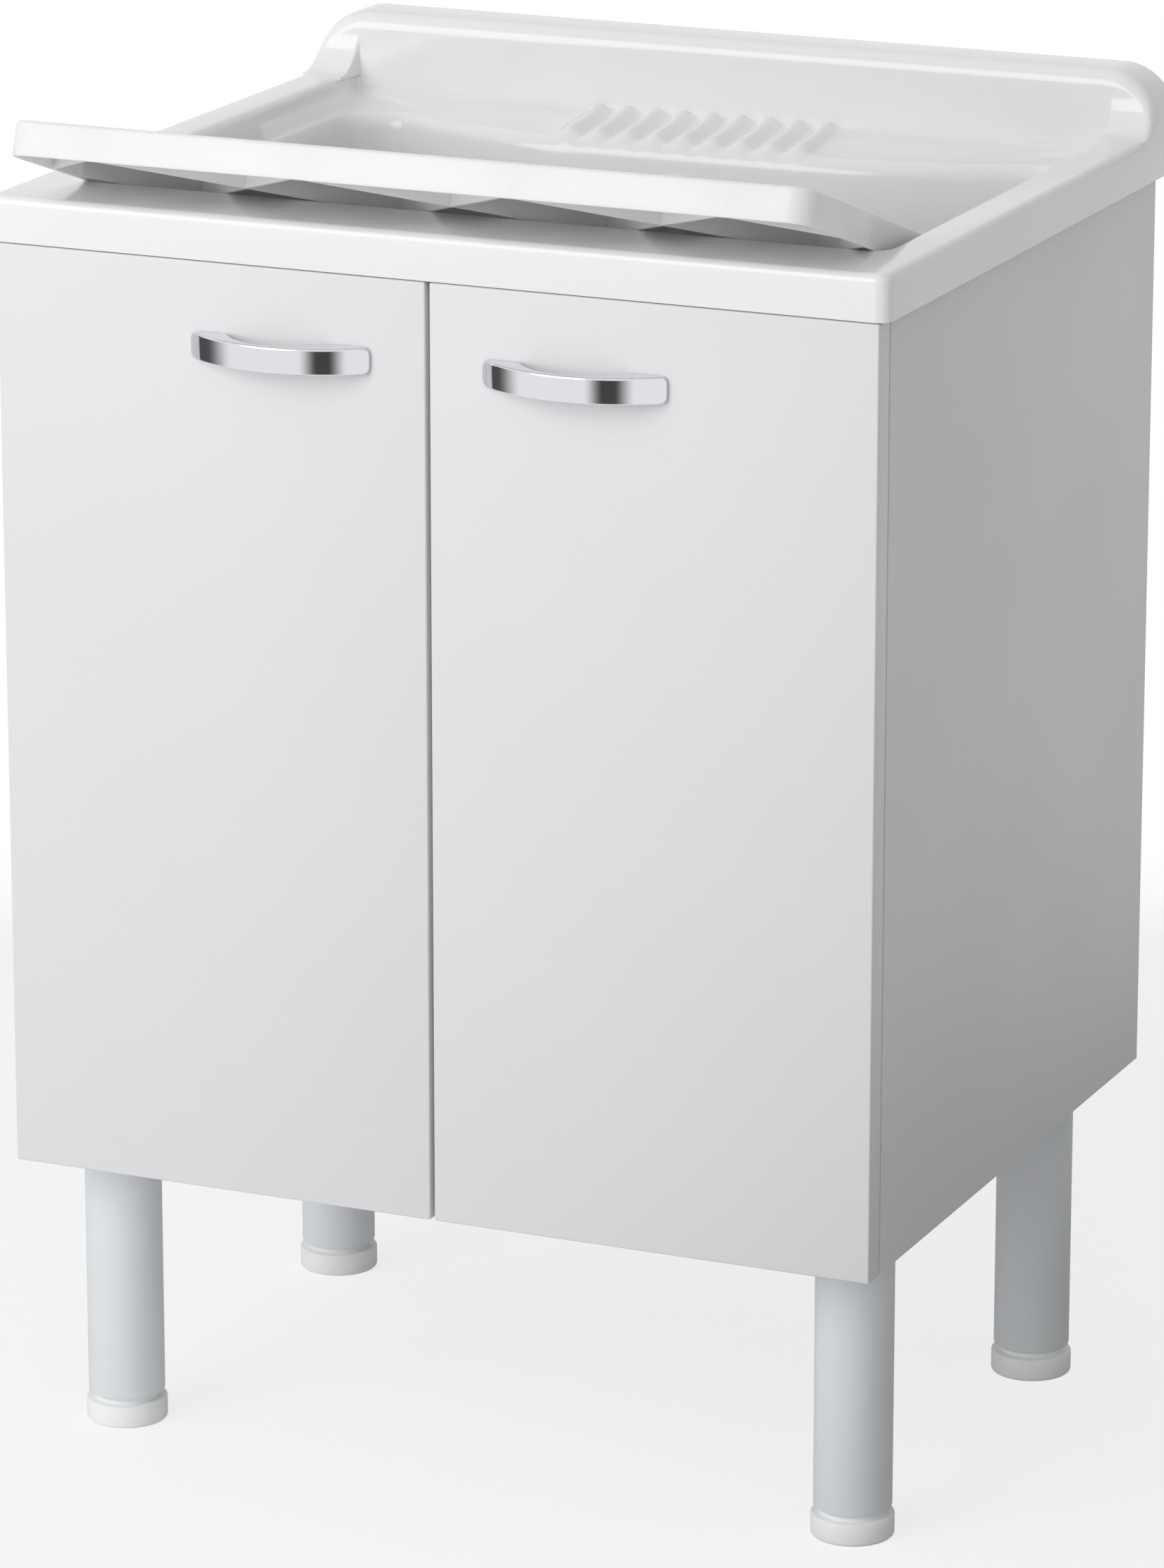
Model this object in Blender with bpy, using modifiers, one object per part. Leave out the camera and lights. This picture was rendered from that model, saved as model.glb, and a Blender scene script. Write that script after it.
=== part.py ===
"""Laundry sink cabinet: moulded basin with backsplash and loose washboard on a two-door cabinet with legs."""
import math

import bmesh
import bpy
from mathutils import Matrix, Vector

for old in list(bpy.data.objects):
    bpy.data.objects.remove(old, do_unlink=True)

MM = 0.001

# Basin, outside
RIM_WIDTH = 600 * MM
RIM_DEPTH = 510 * MM
RIM_SKIRT = 29 * MM
RIM_EDGE_RADIUS = 5 * MM
RIM_CORNER_RADIUS = 9 * MM
BASIN_WALL = 3.5 * MM

# Basin, inside
FRONT_BAND = 67.5 * MM
LIP_RADIUS = 6 * MM
RECESS_CORNER = 12 * MM
RECESS_REAR_CORNER = 8 * MM
RECESS_CORNER_GAIN = 6 * MM
LEDGE_COVE = 4 * MM
LEDGE_ROUND = 12 * MM
LEDGE_CORNER = 36 * MM
LEDGE_CORNER_LOSS = 3 * MM
BACKSPLASH_THICK = 38.5 * MM
LEDGE_DROP = 13 * MM
LEDGE_FALL = 7 * MM
LEDGE_DEPTH = 62 * MM
LEDGE_BOW = 36 * MM
SIDE_STEP = 11 * MM
WELL_DEPTH = 228 * MM
WELL_DRAFT = math.radians(2.0)
REAR_DRAFT = math.radians(4.0)
FLOOR_RADIUS = 42 * MM
FLOOR_CORNER = 34 * MM
FLOOR_CORNER_GAIN = 14 * MM
FLOOR_DISH_RADIUS = 95 * MM
FLOOR_FALL = 5 * MM
DRAIN_BACK = 252 * MM
DRAIN_RECESS_RADIUS = 35 * MM
DRAIN_RECESS_DEPTH = 6 * MM
DRAIN_HOLE_RADIUS = 25 * MM
DRAIN_EDGE = 2.5 * MM

# Backsplash
SPLASH_RISE = 40.5 * MM
SPLASH_CORNER = 36 * MM
SPLASH_ROLL = 11 * MM
SPLASH_EDGE = 6 * MM
SPLASH_BACK_EDGE = 3 * MM
PANEL_PROUD = 1.2 * MM
PILLAR_FLARE = 26 * MM
PILLAR_BLEND = 3 * MM
SPLASH_FOOT = 9 * MM
SPLASH_WALL = 5 * MM
SPLASH_CELLS = 8
SPLASH_WEB = 5 * MM
SPLASH_END = 14 * MM
SPLASH_CELL_DROP = 9 * MM

# Moulded ribs on the ledge
RIB_COUNT = 9
RIB_PITCH = 20.4 * MM
RIB_RADIUS = 7.2 * MM
RIB_HEIGHT = 4.2 * MM
RIB_LENGTH = 58 * MM
RIB_NOSE = 8 * MM
RIB_ROOT = 3.2 * MM
RIB_CENTRE_X = -10 * MM

# Washboard
BOARD_PLAY = 4.5 * MM
BOARD_LENGTH = 374 * MM
BOARD_HEIGHT = 22 * MM
BOARD_WALL = 2.6 * MM
BOARD_CORNER = 16 * MM
BOARD_TILT = math.radians(18.6)
BOARD_OVERHANG = 110 * MM
LATTICE_PITCH = 139 * MM
LATTICE_RUN = 82 * MM
LATTICE_WALL = 2.2 * MM
RIDGE_COUNT = 13
RIDGE_PITCH = 18 * MM
RIDGE_HEIGHT = 3 * MM
RIDGE_MARGIN = 45.5 * MM
RIDGE_SHARE = 0.42
RIDGE_ROOT = 1.2 * MM
RIDGE_SINK = 0.3 * MM
BOARD_TOP_ROUND = 1.6 * MM
BOARD_FOOT_ROUND = 0.8 * MM
LATTICE_LIFT = 0.45 * MM
LATTICE_LEVELS = 0.1 * MM
LATTICE_OVERRUN = 4 * MM
LATTICE_SHORTEST = 30 * MM

# Cabinet boards
BOARD_STOCK = 18 * MM
RAIL_STOCK = 16 * MM
RIM_OVERHANG = 6 * MM
REAR_OVERHANG = 21.5 * MM
WELL_CLEAR = 2.5 * MM
DOOR_HEIGHT = 600 * MM
DOOR_SETBACK = 1.5 * MM
DOOR_GAP = 3 * MM
DOOR_STANDOFF = 2 * MM
DOOR_TOP_GAP = 1 * MM
FRONT_RAIL_HEIGHT = 72 * MM
BACK_RAIL_HEIGHT = 80 * MM
BOARD_EDGE = 0.8 * MM
DOOR_EDGE = 1.2 * MM

# Legs
LEG_HEIGHT = 195 * MM
LEG_DIAMETER = 50 * MM
LEG_WALL = 1.6 * MM
LEG_SIDE_IN = 38 * MM
LEG_FRONT_IN = 54 * MM
LEG_REAR_IN = 92 * MM
FOOT_DIAMETER = 53 * MM
FOOT_HEIGHT = 15 * MM
FOOT_NECK = 4 * MM
STUD_DIAMETER = 10 * MM
STUD_LENGTH = 34 * MM
BORE_SPARE = 2 * MM
LEG_PLUG = 6 * MM
LEG_PLATE_DIAMETER = 64 * MM
LEG_PLATE_THICK = 4.7 * MM
LEG_BOSS_LENGTH = 12 * MM
LEG_EDGE = 1.2 * MM
LEG_PLATE_EDGE = 2 * MM
FOOT_EDGE = 1.4 * MM
FOOT_TOP_EDGE = 0.8 * MM
FOOT_NECK_IN = 4 * MM

# Handles
HANDLE_LENGTH = 121 * MM
HANDLE_RISE = 25 * MM
HANDLE_STRAP = 17 * MM
HANDLE_THICK = 4.5 * MM
HANDLE_PAD = 24 * MM
HANDLE_X = 98.5 * MM
HANDLE_DROP = 52 * MM
HANDLE_EDGE = 1.6 * MM

# Hinges
CUP_DIAMETER = 35 * MM
CUP_DEPTH = 11.5 * MM
CUP_WALL = 1.4 * MM
CUP_EDGE = 5 * MM
CUP_FLANGE = 1.0 * MM
CUP_RIM = 1.2 * MM
WING_WIDTH = 18 * MM
WING_SPAN = 60 * MM
WING_CORNER = 6 * MM
HINGE_INSET = 100 * MM
PIVOT_IN = 5 * MM
ARM_WIDTH = 14 * MM
ARM_LENGTH = 62 * MM
ARM_DEPTH = 10 * MM
ARM_NECK = 14 * MM
ARM_HEAD = 12 * MM
ARM_HEAD_ROUND = 3 * MM
ARM_HEAD_OUT = 2 * MM
ARM_REACH = 6 * MM
ARM_EDGE = 0.8 * MM
PLATE_THICK = 4 * MM
PLATE_START = 22 * MM
PLATE_LENGTH = 40 * MM
PLATE_HEIGHT = 50 * MM
PLATE_CORNER = 7 * MM

# Waste and overflow
FLANGE_RADIUS = 33 * MM
WASTE_TUBE_RADIUS = 22.5 * MM
PIPE_RADIUS = 16 * MM
PIPE_WALL = 1.8 * MM
TRAP_RADIUS = 31 * MM
TRAP_HEIGHT = 74 * MM
TAIL_LENGTH = 150 * MM
WASTE_TUBE_LENGTH = 36 * MM
WASTE_BODY_LENGTH = 52 * MM
SPIGOT_DROP = 30 * MM
GASKET_THICK = 3 * MM
NUT_HEIGHT = 9 * MM
UNION_HEIGHT = 12 * MM
TRAP_CUP_DEPTH = 28 * MM
TRAP_CUP_LAP = 14 * MM
TAIL_IN_TRAP = 78 * MM
OUTLET_DROP = 36 * MM
STRAINER_WALL = 2.6 * MM
STRAINER_FLOOR = 2 * MM
STRAINER_DISH = 1.2 * MM
STRAINER_RISE = 3.4 * MM
STRAINER_HOLES = 6
STRAINER_HOLE = 3.4 * MM
STRAINER_CIRCLE = 12 * MM
BODY_WALL = 3.5 * MM
BODY_NECK = 8 * MM
NECK_WALL = 4 * MM
PIPE_LAP = 11 * MM
SPIGOT_RADIUS = 8 * MM
SPIGOT_BORE = 5.5 * MM
SPIGOT_LENGTH = 18 * MM
NUT_WALL = 7 * MM
NUT_TAPER = 1 * MM
TRAP_WALL = 2.5 * MM
TRAP_NECK = 8 * MM
TRAP_SHOULDER = 16 * MM
TRAP_NECK_WALL = 5 * MM
TRAP_CUP_WALL = 3 * MM
TRAP_CUP_FLAT = 12 * MM
TRAP_CUP_BOTTOM = 2.5 * MM
OUTLET_SOCKET = 22 * MM
OVERFLOW_X = -10 * MM
OVERFLOW_DROP = 52 * MM
OVERFLOW_RADIUS = 13 * MM
OVERFLOW_HOLE = 9.5 * MM
OVERFLOW_MOUTH = 4.5 * MM
ROSETTE_RISE = 3.2 * MM
ROSETTE_TUBE = 8.6 * MM
ROSETTE_BORE = 6.2 * MM
ROSETTE_LENGTH = 6.4 * MM
ELBOW_FLANGE = 15 * MM
ELBOW_RADIUS = 11.4 * MM
ELBOW_BORE = 9.2 * MM
ELBOW_DEPTH = 20 * MM
ELBOW_WALL = 4 * MM
ELBOW_SPIGOT = 7 * MM
ELBOW_SPIGOT_BORE = 4.8 * MM
ELBOW_SPIGOT_TOP = 8 * MM
ELBOW_SPIGOT_LOW = 34 * MM
HOSE_RADIUS = 9 * MM
HOSE_RUN = 110 * MM
HOSE_SAG = 1.15
CUTTER_SPARE = 5 * MM

# Clearances
SEAT = 0.3 * MM
RUN = 0.6 * MM
LIP_SEAT = 0.7 * MM

# Heights above the floor
CABINET_BOTTOM = LEG_HEIGHT
DOOR_TOP = CABINET_BOTTOM + DOOR_HEIGHT
RIM_BOTTOM = DOOR_TOP + DOOR_TOP_GAP
RIM_TOP = RIM_BOTTOM + RIM_SKIRT
SPLASH_TOP = RIM_TOP + SPLASH_RISE
LEDGE_BACK_Z = RIM_TOP - LEDGE_DROP
LEDGE_FRONT_Z = LEDGE_BACK_Z - LEDGE_FALL
FLOOR_Z = RIM_TOP - WELL_DEPTH
DRAIN_Z = FLOOR_Z - FLOOR_FALL - DRAIN_RECESS_DEPTH

# Washboard pose: its underside lies on the rounded front lip
SIN_TILT = math.sin(BOARD_TILT)
COS_TILT = math.cos(BOARD_TILT)
LIP_Y = FRONT_BAND - LIP_RADIUS
LIP_Z = RIM_TOP - LIP_RADIUS
REST_Y = LIP_Y + (LIP_RADIUS + LIP_SEAT) * SIN_TILT
REST_Z = LIP_Z + (LIP_RADIUS + LIP_SEAT) * COS_TILT
BOARD_FRONT_Y = REST_Y - BOARD_OVERHANG * COS_TILT
BOARD_FRONT_Z = REST_Z + BOARD_OVERHANG * SIN_TILT
BOARD_REAR_Y = BOARD_FRONT_Y + BOARD_LENGTH * COS_TILT + BOARD_HEIGHT * SIN_TILT
STEP_Y = BOARD_REAR_Y + SEAT

# Depths, first from the front of the rim, then moved so that the whole stands centred
SHIFT_Y = -(BOARD_FRONT_Y + RIM_DEPTH) / 2
RIM_FRONT = SHIFT_Y
RIM_REAR = SHIFT_Y + RIM_DEPTH
DOOR_FRONT = SHIFT_Y + DOOR_SETBACK
DOOR_BACK = DOOR_FRONT + BOARD_STOCK
SIDE_FRONT = DOOR_BACK + DOOR_STANDOFF
SIDE_REAR = RIM_REAR - REAR_OVERHANG
PANEL_Y = RIM_REAR - BACKSPLASH_THICK
PANEL_FACE = PANEL_Y - PANEL_PROUD
LEDGE_EDGE_Y = PANEL_Y - LEDGE_DEPTH
SIDE_OUT = RIM_WIDTH / 2 - RIM_OVERHANG
SIDE_IN = SIDE_OUT - BOARD_STOCK
LEG_X = SIDE_OUT - LEG_SIDE_IN
RECESS_X = SIDE_IN - WELL_CLEAR - BASIN_WALL
BOARD_WIDTH = 2 * (RECESS_X - BOARD_PLAY)
RIDGE_WIDTH = BOARD_WIDTH - 2 * RIDGE_MARGIN
SIDE_TOP = RIM_TOP - BASIN_WALL - SEAT
SPLASH_CELLS_X = RECESS_X - SPLASH_END

# Overflow place: on the flat middle of the rear wall
WALL_TOP_Z = LEDGE_FRONT_Z - LEDGE_ROUND
WALL_LOW_Z = FLOOR_Z + FLOOR_RADIUS
WALL_DEPTH = RIM_TOP - WALL_TOP_Z
OVERFLOW_Z = RIM_TOP - OVERFLOW_DROP
OVERFLOW_Y = LEDGE_EDGE_Y - (WALL_TOP_Z - OVERFLOW_Z) * math.tan(REAR_DRAFT)
OVERFLOW_AT = Vector((OVERFLOW_X, OVERFLOW_Y, OVERFLOW_Z))
OVERFLOW_TURN = Matrix.Rotation(math.pi / 2 - REAR_DRAFT, 4, "X")

# Segments of round pieces: large, middling and small
ROUND = 20
ROUND_MIDDLE = 16
ROUND_SMALL = 8
CORNER_SEGMENTS = 4

PARTS = bpy.data.collections.new("laundry_sink_cabinet")
CUTTERS = bpy.data.collections.new("cutters")
bpy.context.scene.collection.children.link(PARTS)
bpy.context.scene.collection.children.link(CUTTERS)


def material(name, colour, roughness, metallic):
    made = bpy.data.materials.new(name)
    made.use_nodes = True
    shader = made.node_tree.nodes["Principled BSDF"]
    shader.inputs["Base Color"].default_value = (*colour, 1.0)
    shader.inputs["Roughness"].default_value = roughness
    shader.inputs["Metallic"].default_value = metallic
    return made


def place(name, mesh, look=None, cutter=False):
    """Link a mesh as a named part, or as a hidden cutter."""
    made = bpy.data.objects.new(name, mesh)
    if cutter:
        made.hide_render = True
        made.display_type = "WIRE"
        CUTTERS.objects.link(made)
    else:
        PARTS.objects.link(made)
        mesh.materials.append(material(name + "_material", *look))
    return made


def box_mesh(name, low, high):
    mesh = bpy.data.meshes.new(name)
    work = bmesh.new()
    bmesh.ops.create_cube(work, size=1.0)
    size = Vector(high) - Vector(low)
    centre = (Vector(high) + Vector(low)) / 2
    for vert in work.verts:
        vert.co = Vector((vert.co.x * size.x, vert.co.y * size.y, vert.co.z * size.z)) + centre
    work.to_mesh(mesh)
    work.free()
    return mesh


def round_edges(made, width, segments=1, angle=30):
    bevel = made.modifiers.new("round", "BEVEL")
    bevel.width = width
    bevel.segments = segments
    bevel.limit_method = "ANGLE"
    bevel.angle_limit = math.radians(angle)
    bevel.use_clamp_overlap = True
    return bevel


def box(name, low, high, look=None, edge=0.0, segments=1, cutter=False):
    made = place(name, box_mesh(name, low, high), look, cutter)
    if edge:
        round_edges(made, edge, segments)
    return made


def boolean(made, other, kind):
    step = made.modifiers.new(kind.lower(), "BOOLEAN")
    step.operation = kind
    step.solver = "EXACT"
    step.object = other


def baked(made):
    """The mesh of an object with its modifiers worked in."""
    graph = bpy.context.evaluated_depsgraph_get()
    return bpy.data.meshes.new_from_object(made.evaluated_get(graph))


def bake(made):
    mesh = baked(made)
    look = list(made.data.materials)
    made.modifiers.clear()
    made.data = mesh
    mesh.materials.clear()
    for item in look:
        mesh.materials.append(item)


def closed(mesh):
    """Join the points that fall together and turn the faces outwards."""
    work = bmesh.new()
    work.from_mesh(mesh)
    bmesh.ops.remove_doubles(work, verts=work.verts, dist=0.000002)
    bmesh.ops.recalc_face_normals(work, faces=work.faces)
    work.to_mesh(mesh)
    work.free()
    return mesh


def from_curve(name, curve):
    """The closed mesh of a curve."""
    made = bpy.data.objects.new(name, curve)
    CUTTERS.objects.link(made)
    mesh = baked(made)
    bpy.data.objects.remove(made, do_unlink=True)
    return closed(mesh)


def lathe_mesh(name, profile, segments):
    """Solid of revolution about Z; the profile runs from top to bottom at +X."""
    mesh = bpy.data.meshes.new(name)
    points = [(radius, 0.0, height) for radius, height in profile]
    edges = [(i, i + 1) for i in range(len(points) - 1) if profile[i][0] > 0 or profile[i + 1][0] > 0]
    if profile[0][0] > 0 and profile[-1][0] > 0:
        edges.append((len(points) - 1, 0))
    mesh.from_pydata(points, edges, [])
    made = bpy.data.objects.new(name, mesh)
    CUTTERS.objects.link(made)
    turn = made.modifiers.new("turn", "SCREW")
    turn.axis = "Z"
    turn.angle = math.tau
    turn.steps = segments
    turn.render_steps = segments
    turn.use_merge_vertices = True
    turn.merge_threshold = 0.00002
    turn.use_normal_calculate = True
    result = baked(made)
    bpy.data.objects.remove(made, do_unlink=True)
    return closed(result)


def lathe(name, profile, at, look=None, segments=ROUND, turn=None, cutter=False):
    mesh = lathe_mesh(name, profile, segments)
    if turn is not None:
        mesh.transform(turn)
    mesh.transform(Matrix.Translation(at))
    return place(name, mesh, look, cutter)


def pin(name, radius, far, near, at, segments, turn=None):
    """A plain round cutter or boss along an axis, from far to near."""
    return lathe(name, [(0, far), (radius, far), (radius, near), (0, near)], at, None, segments, turn, True)


def flat_mesh(name, outline, low, high, edge=0.0):
    """A 2D outline drawn as a filled curve and extruded from low to high along Z."""
    curve = bpy.data.curves.new(name, "CURVE")
    curve.dimensions = "2D"
    curve.fill_mode = "BOTH"
    curve.extrude = (high - low) / 2 - edge
    curve.bevel_depth = edge
    curve.bevel_resolution = 1 if edge else 0
    curve.offset = -edge
    line = curve.splines.new("POLY")
    line.points.add(len(outline) - 1)
    for point, (x, y) in zip(line.points, outline):
        point.co = (x, y, 0.0, 1.0)
    line.use_cyclic_u = True
    result = from_curve(name, curve)
    result.transform(Matrix.Translation((0, 0, (low + high) / 2)))
    return result


def arc(centre, radius, start, end, count):
    """Points of an arc, angles in degrees, both ends included."""
    points = []
    for i in range(count + 1):
        angle = math.radians(start + (end - start) * i / count)
        points.append((centre[0] + radius * math.cos(angle), centre[1] + radius * math.sin(angle)))
    return points


def rounded_rectangle(low, high, radius, count):
    x0, y0 = low
    x1, y1 = high
    points = arc((x1 - radius, y0 + radius), radius, -90, 0, count)
    points += arc((x1 - radius, y1 - radius), radius, 0, 90, count)
    points += arc((x0 + radius, y1 - radius), radius, 90, 180, count)
    points += arc((x0 + radius, y0 + radius), radius, 180, 270, count)
    return points


# Looks: colour, roughness, metallic
WHITE_MOULDED = ((0.83, 0.83, 0.84), 0.18, 0.0)
WHITE_BOARD = ((0.80, 0.80, 0.81), 0.35, 0.0)
WHITE_RESIN = ((0.86, 0.86, 0.86), 0.30, 0.0)
GREY_LEG = ((0.68, 0.69, 0.70), 0.45, 0.0)
CHROME = ((0.75, 0.75, 0.77), 0.08, 1.0)
NICKEL = ((0.62, 0.61, 0.58), 0.30, 1.0)
STEEL = ((0.70, 0.70, 0.70), 0.25, 1.0)
RUBBER = ((0.05, 0.05, 0.05), 0.70, 0.0)
GREY_HOSE = ((0.55, 0.56, 0.57), 0.50, 0.0)

# Basin: rings lofted from the skirt, over the rim and ledge, down the well to the drain
CORNER_STEPS = 5
REAR_STEPS = 8
FRONT_STEPS = 8
STEP_RAMP = 3 * MM


def ring(front, rear, half, front_radius, rear_radius, height, step=0.0, bow=0.0):
    """One closed ring of the basin, counter-clockwise seen from above, starting at the front right corner."""
    rear_half = half - step
    points = []
    for x, y in arc((half - front_radius, front + front_radius), front_radius, -90, 0, CORNER_STEPS):
        points.append((x, y, height))
    ramp = SHIFT_Y + STEP_Y
    points.append((half, ramp, height))
    points.append((rear_half, ramp + STEP_RAMP, height))
    for x, y in arc((rear_half - rear_radius, rear + bow - rear_radius), rear_radius, 0, 90, CORNER_STEPS):
        points.append((x, y, height))
    span = rear_half - rear_radius
    for i in range(1, REAR_STEPS):
        x = span - 2 * span * i / REAR_STEPS
        share = max(0.0, abs(x) - span / 3) / (span - span / 3)
        points.append((x, rear + bow * share * share, height))
    mirrored = [(-x, y, z) for x, y, z in reversed(points[:len(points) - (REAR_STEPS - 1)])]
    near = half - front_radius
    along = [(-near + 2 * near * i / FRONT_STEPS, front, height) for i in range(1, FRONT_STEPS)]
    return points + mirrored + along


def circle_ring(like, radius, height):
    """A ring round the drain with as many points as another ring, starting at the same bearing."""
    count = len(like)
    middle = CORNER_STEPS * 2 + 3 + REAR_STEPS // 2
    points = []
    for i in range(count):
        angle = math.pi / 2 + math.tau * (i - middle) / count
        points.append((radius * math.cos(angle), SHIFT_Y + DRAIN_BACK + radius * math.sin(angle), height))
    return points


def draft(depth):
    """How far the well's front and side walls lean in at a depth."""
    return depth * math.tan(WELL_DRAFT)


def recess_ring(depth, rear, rear_radius, step=0.0, bow=0.0):
    """A ring of the recess between the lip and the wall of the well."""
    gain = RECESS_CORNER_GAIN * depth / WALL_DEPTH
    return ring(RIM_FRONT + FRONT_BAND + draft(depth), rear, RECESS_X - draft(depth), RECESS_CORNER + gain,
                rear_radius, RIM_TOP - depth, step, bow)


def basin_rings():
    """Rings from the skirt over rim, lip, ledge and walls to the edge of the drain."""
    half = RIM_WIDTH / 2
    near = RIM_FRONT
    far = RIM_REAR
    edge = RIM_EDGE_RADIUS
    corner = RIM_CORNER_RADIUS
    rings = []
    rings.append(ring(near, far, half, corner, corner, RIM_BOTTOM))
    for degrees in (0, 45, 90):
        angle = math.radians(degrees)
        inset = edge * (1 - math.cos(angle))
        height = RIM_TOP - edge + edge * math.sin(angle)
        rings.append(ring(near + inset, far - inset, half - inset, corner - inset, corner - inset, height))
    lip = LIP_RADIUS
    for degrees in (0, 45, 90):
        angle = math.radians(degrees)
        out = lip * (1 - math.sin(angle))
        height = RIM_TOP - lip + lip * math.cos(angle)
        rings.append(ring(near + FRONT_BAND - out, PANEL_Y + out, RECESS_X + out, RECESS_CORNER + out,
                          RECESS_REAR_CORNER + out, height))
    rings.append(recess_ring(LEDGE_DROP - LEDGE_COVE, PANEL_Y, RECESS_REAR_CORNER))
    rings.append(recess_ring(LEDGE_DROP, PANEL_Y - LEDGE_COVE, RECESS_REAR_CORNER, SIDE_STEP * 0.25))
    for degrees, share in ((0, 0.65), (45, 0.9), (90, 1.0)):
        angle = math.radians(degrees)
        depth = RIM_TOP - LEDGE_FRONT_Z + LEDGE_ROUND * (1 - math.cos(angle))
        rings.append(recess_ring(depth, LEDGE_EDGE_Y + LEDGE_ROUND * (1 - math.sin(angle)),
                                 LEDGE_CORNER - LEDGE_CORNER_LOSS * share, SIDE_STEP * share, LEDGE_BOW))
    fall = WALL_TOP_Z - WALL_LOW_Z
    lean = fall * math.tan(REAR_DRAFT)
    low_x = RECESS_X - draft(WALL_DEPTH + fall)
    low_front = near + FRONT_BAND + draft(WALL_DEPTH) + lean
    for degrees in (0, 30, 60, 90):
        angle = math.radians(degrees)
        inset = FLOOR_RADIUS * (1 - math.cos(angle))
        height = WALL_LOW_Z - FLOOR_RADIUS * math.sin(angle)
        corner = FLOOR_CORNER + FLOOR_CORNER_GAIN * degrees / 90
        rings.append(ring(low_front + inset, LEDGE_EDGE_Y - lean - inset, low_x - inset, corner, corner,
                          height, SIDE_STEP * (1 - degrees / 120), LEDGE_BOW * (1 - degrees / 180)))
    last = rings[-1]
    rings.append(circle_ring(last, FLOOR_DISH_RADIUS, FLOOR_Z - FLOOR_FALL / 2))
    rings.append(circle_ring(last, DRAIN_RECESS_RADIUS + DRAIN_EDGE, FLOOR_Z - FLOOR_FALL))
    rings.append(circle_ring(last, DRAIN_RECESS_RADIUS, DRAIN_Z))
    rings.append(circle_ring(last, DRAIN_HOLE_RADIUS, DRAIN_Z))
    return rings


def loft_mesh(name, rings):
    """Quads between rings of equal length."""
    mesh = bpy.data.meshes.new(name)
    count = len(rings[0])
    verts = [point for one in rings for point in one]
    faces = []
    for row in range(len(rings) - 1):
        for i in range(count):
            j = (i + 1) % count
            a = row * count
            b = a + count
            faces.append((a + i, a + j, b + j, b + i))
    mesh.from_pydata(verts, [], faces)
    mesh.update()
    return mesh


def capped_loft(name, rings):
    """A loft closed by a face over its first and its last ring."""
    mesh = loft_mesh(name, rings)
    work = bmesh.new()
    work.from_mesh(mesh)
    work.verts.ensure_lookup_table()
    count = len(rings[0])
    work.faces.new([work.verts[i] for i in range(count)])
    work.faces.new([work.verts[len(rings) * count - 1 - i] for i in range(count)])
    bmesh.ops.recalc_face_normals(work, faces=work.faces)
    work.to_mesh(mesh)
    work.free()
    return mesh


def turned(mesh, columns):
    """Map the X, Y, Z axes of a mesh to the given directions."""
    matrix = Matrix((columns[0], columns[1], columns[2])).transposed().to_4x4()
    mesh.transform(matrix)
    return mesh


def fall_off(radius, run):
    """Depth of a round of a radius, at a run past its start."""
    run = min(max(run, 0.0), radius)
    return radius - math.sqrt(radius * radius - run * run)


SPLASH_SAMPLES = 8
SPLASH_STATIONS = 7


def splash_section(x):
    """Closed outline of the backsplash at one place across: foot, flare, face, roll and back."""
    half = RIM_WIDTH / 2
    reach = abs(x)
    peak = SPLASH_TOP - fall_off(SPLASH_CORNER, reach - half + SPLASH_CORNER)
    inset = fall_off(SPLASH_EDGE, reach - half + SPLASH_EDGE)
    share = min(max((reach - RECESS_X) / PILLAR_BLEND + 1, 0.0), 1.0)
    flare = share * share * (3 - 2 * share)
    roll = min(SPLASH_ROLL, peak - RIM_TOP)
    front = []
    for i in range(SPLASH_SAMPLES + 1):
        z = RIM_TOP + (peak - RIM_TOP) * (1 - math.cos(math.pi * i / SPLASH_SAMPLES)) / 2
        ahead = flare * fall_off(PILLAR_FLARE, RIM_TOP + PILLAR_FLARE - z)
        front.append((x, PANEL_FACE + inset - ahead + fall_off(roll, z - peak + roll), z))
    sunk = RIM_EDGE_RADIUS if reach > half - BASIN_WALL else BASIN_WALL * 0.6
    base = RIM_TOP - sunk
    rear = RIM_REAR - inset
    back = [(x, rear - SPLASH_BACK_EDGE, peak), (x, rear, peak - SPLASH_BACK_EDGE), (x, rear, base)]
    return [(x, front[0][1], base), *front, *back]


def splash_solid():
    """Backsplash lofted from end to end, with a foot behind the recess."""
    half = RIM_WIDTH / 2
    outer = [half - SPLASH_CORNER * (1 - math.sin(math.pi / 2 * i / SPLASH_STATIONS))
             for i in range(SPLASH_STATIONS + 1)]
    inner = [RECESS_X - PILLAR_BLEND * (1 - i / 4) for i in range(5)]
    right = sorted(inner + [x for x in outer if x < inner[0] - 1 * MM or x > inner[-1] + 1 * MM])
    places = [-x for x in reversed(right)] + right
    made = place("splash_body", capped_loft("splash_body", [splash_section(x) for x in places]), None, True)
    foot = box("splash_foot", (SEAT - RECESS_X, PANEL_FACE + 0.05 * MM, LEDGE_BACK_Z - BASIN_WALL / 2),
               (RECESS_X - SEAT, PANEL_Y + SPLASH_FOOT, RIM_TOP + BASIN_WALL), cutter=True)
    boolean(made, foot, "UNION")
    return made


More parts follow.
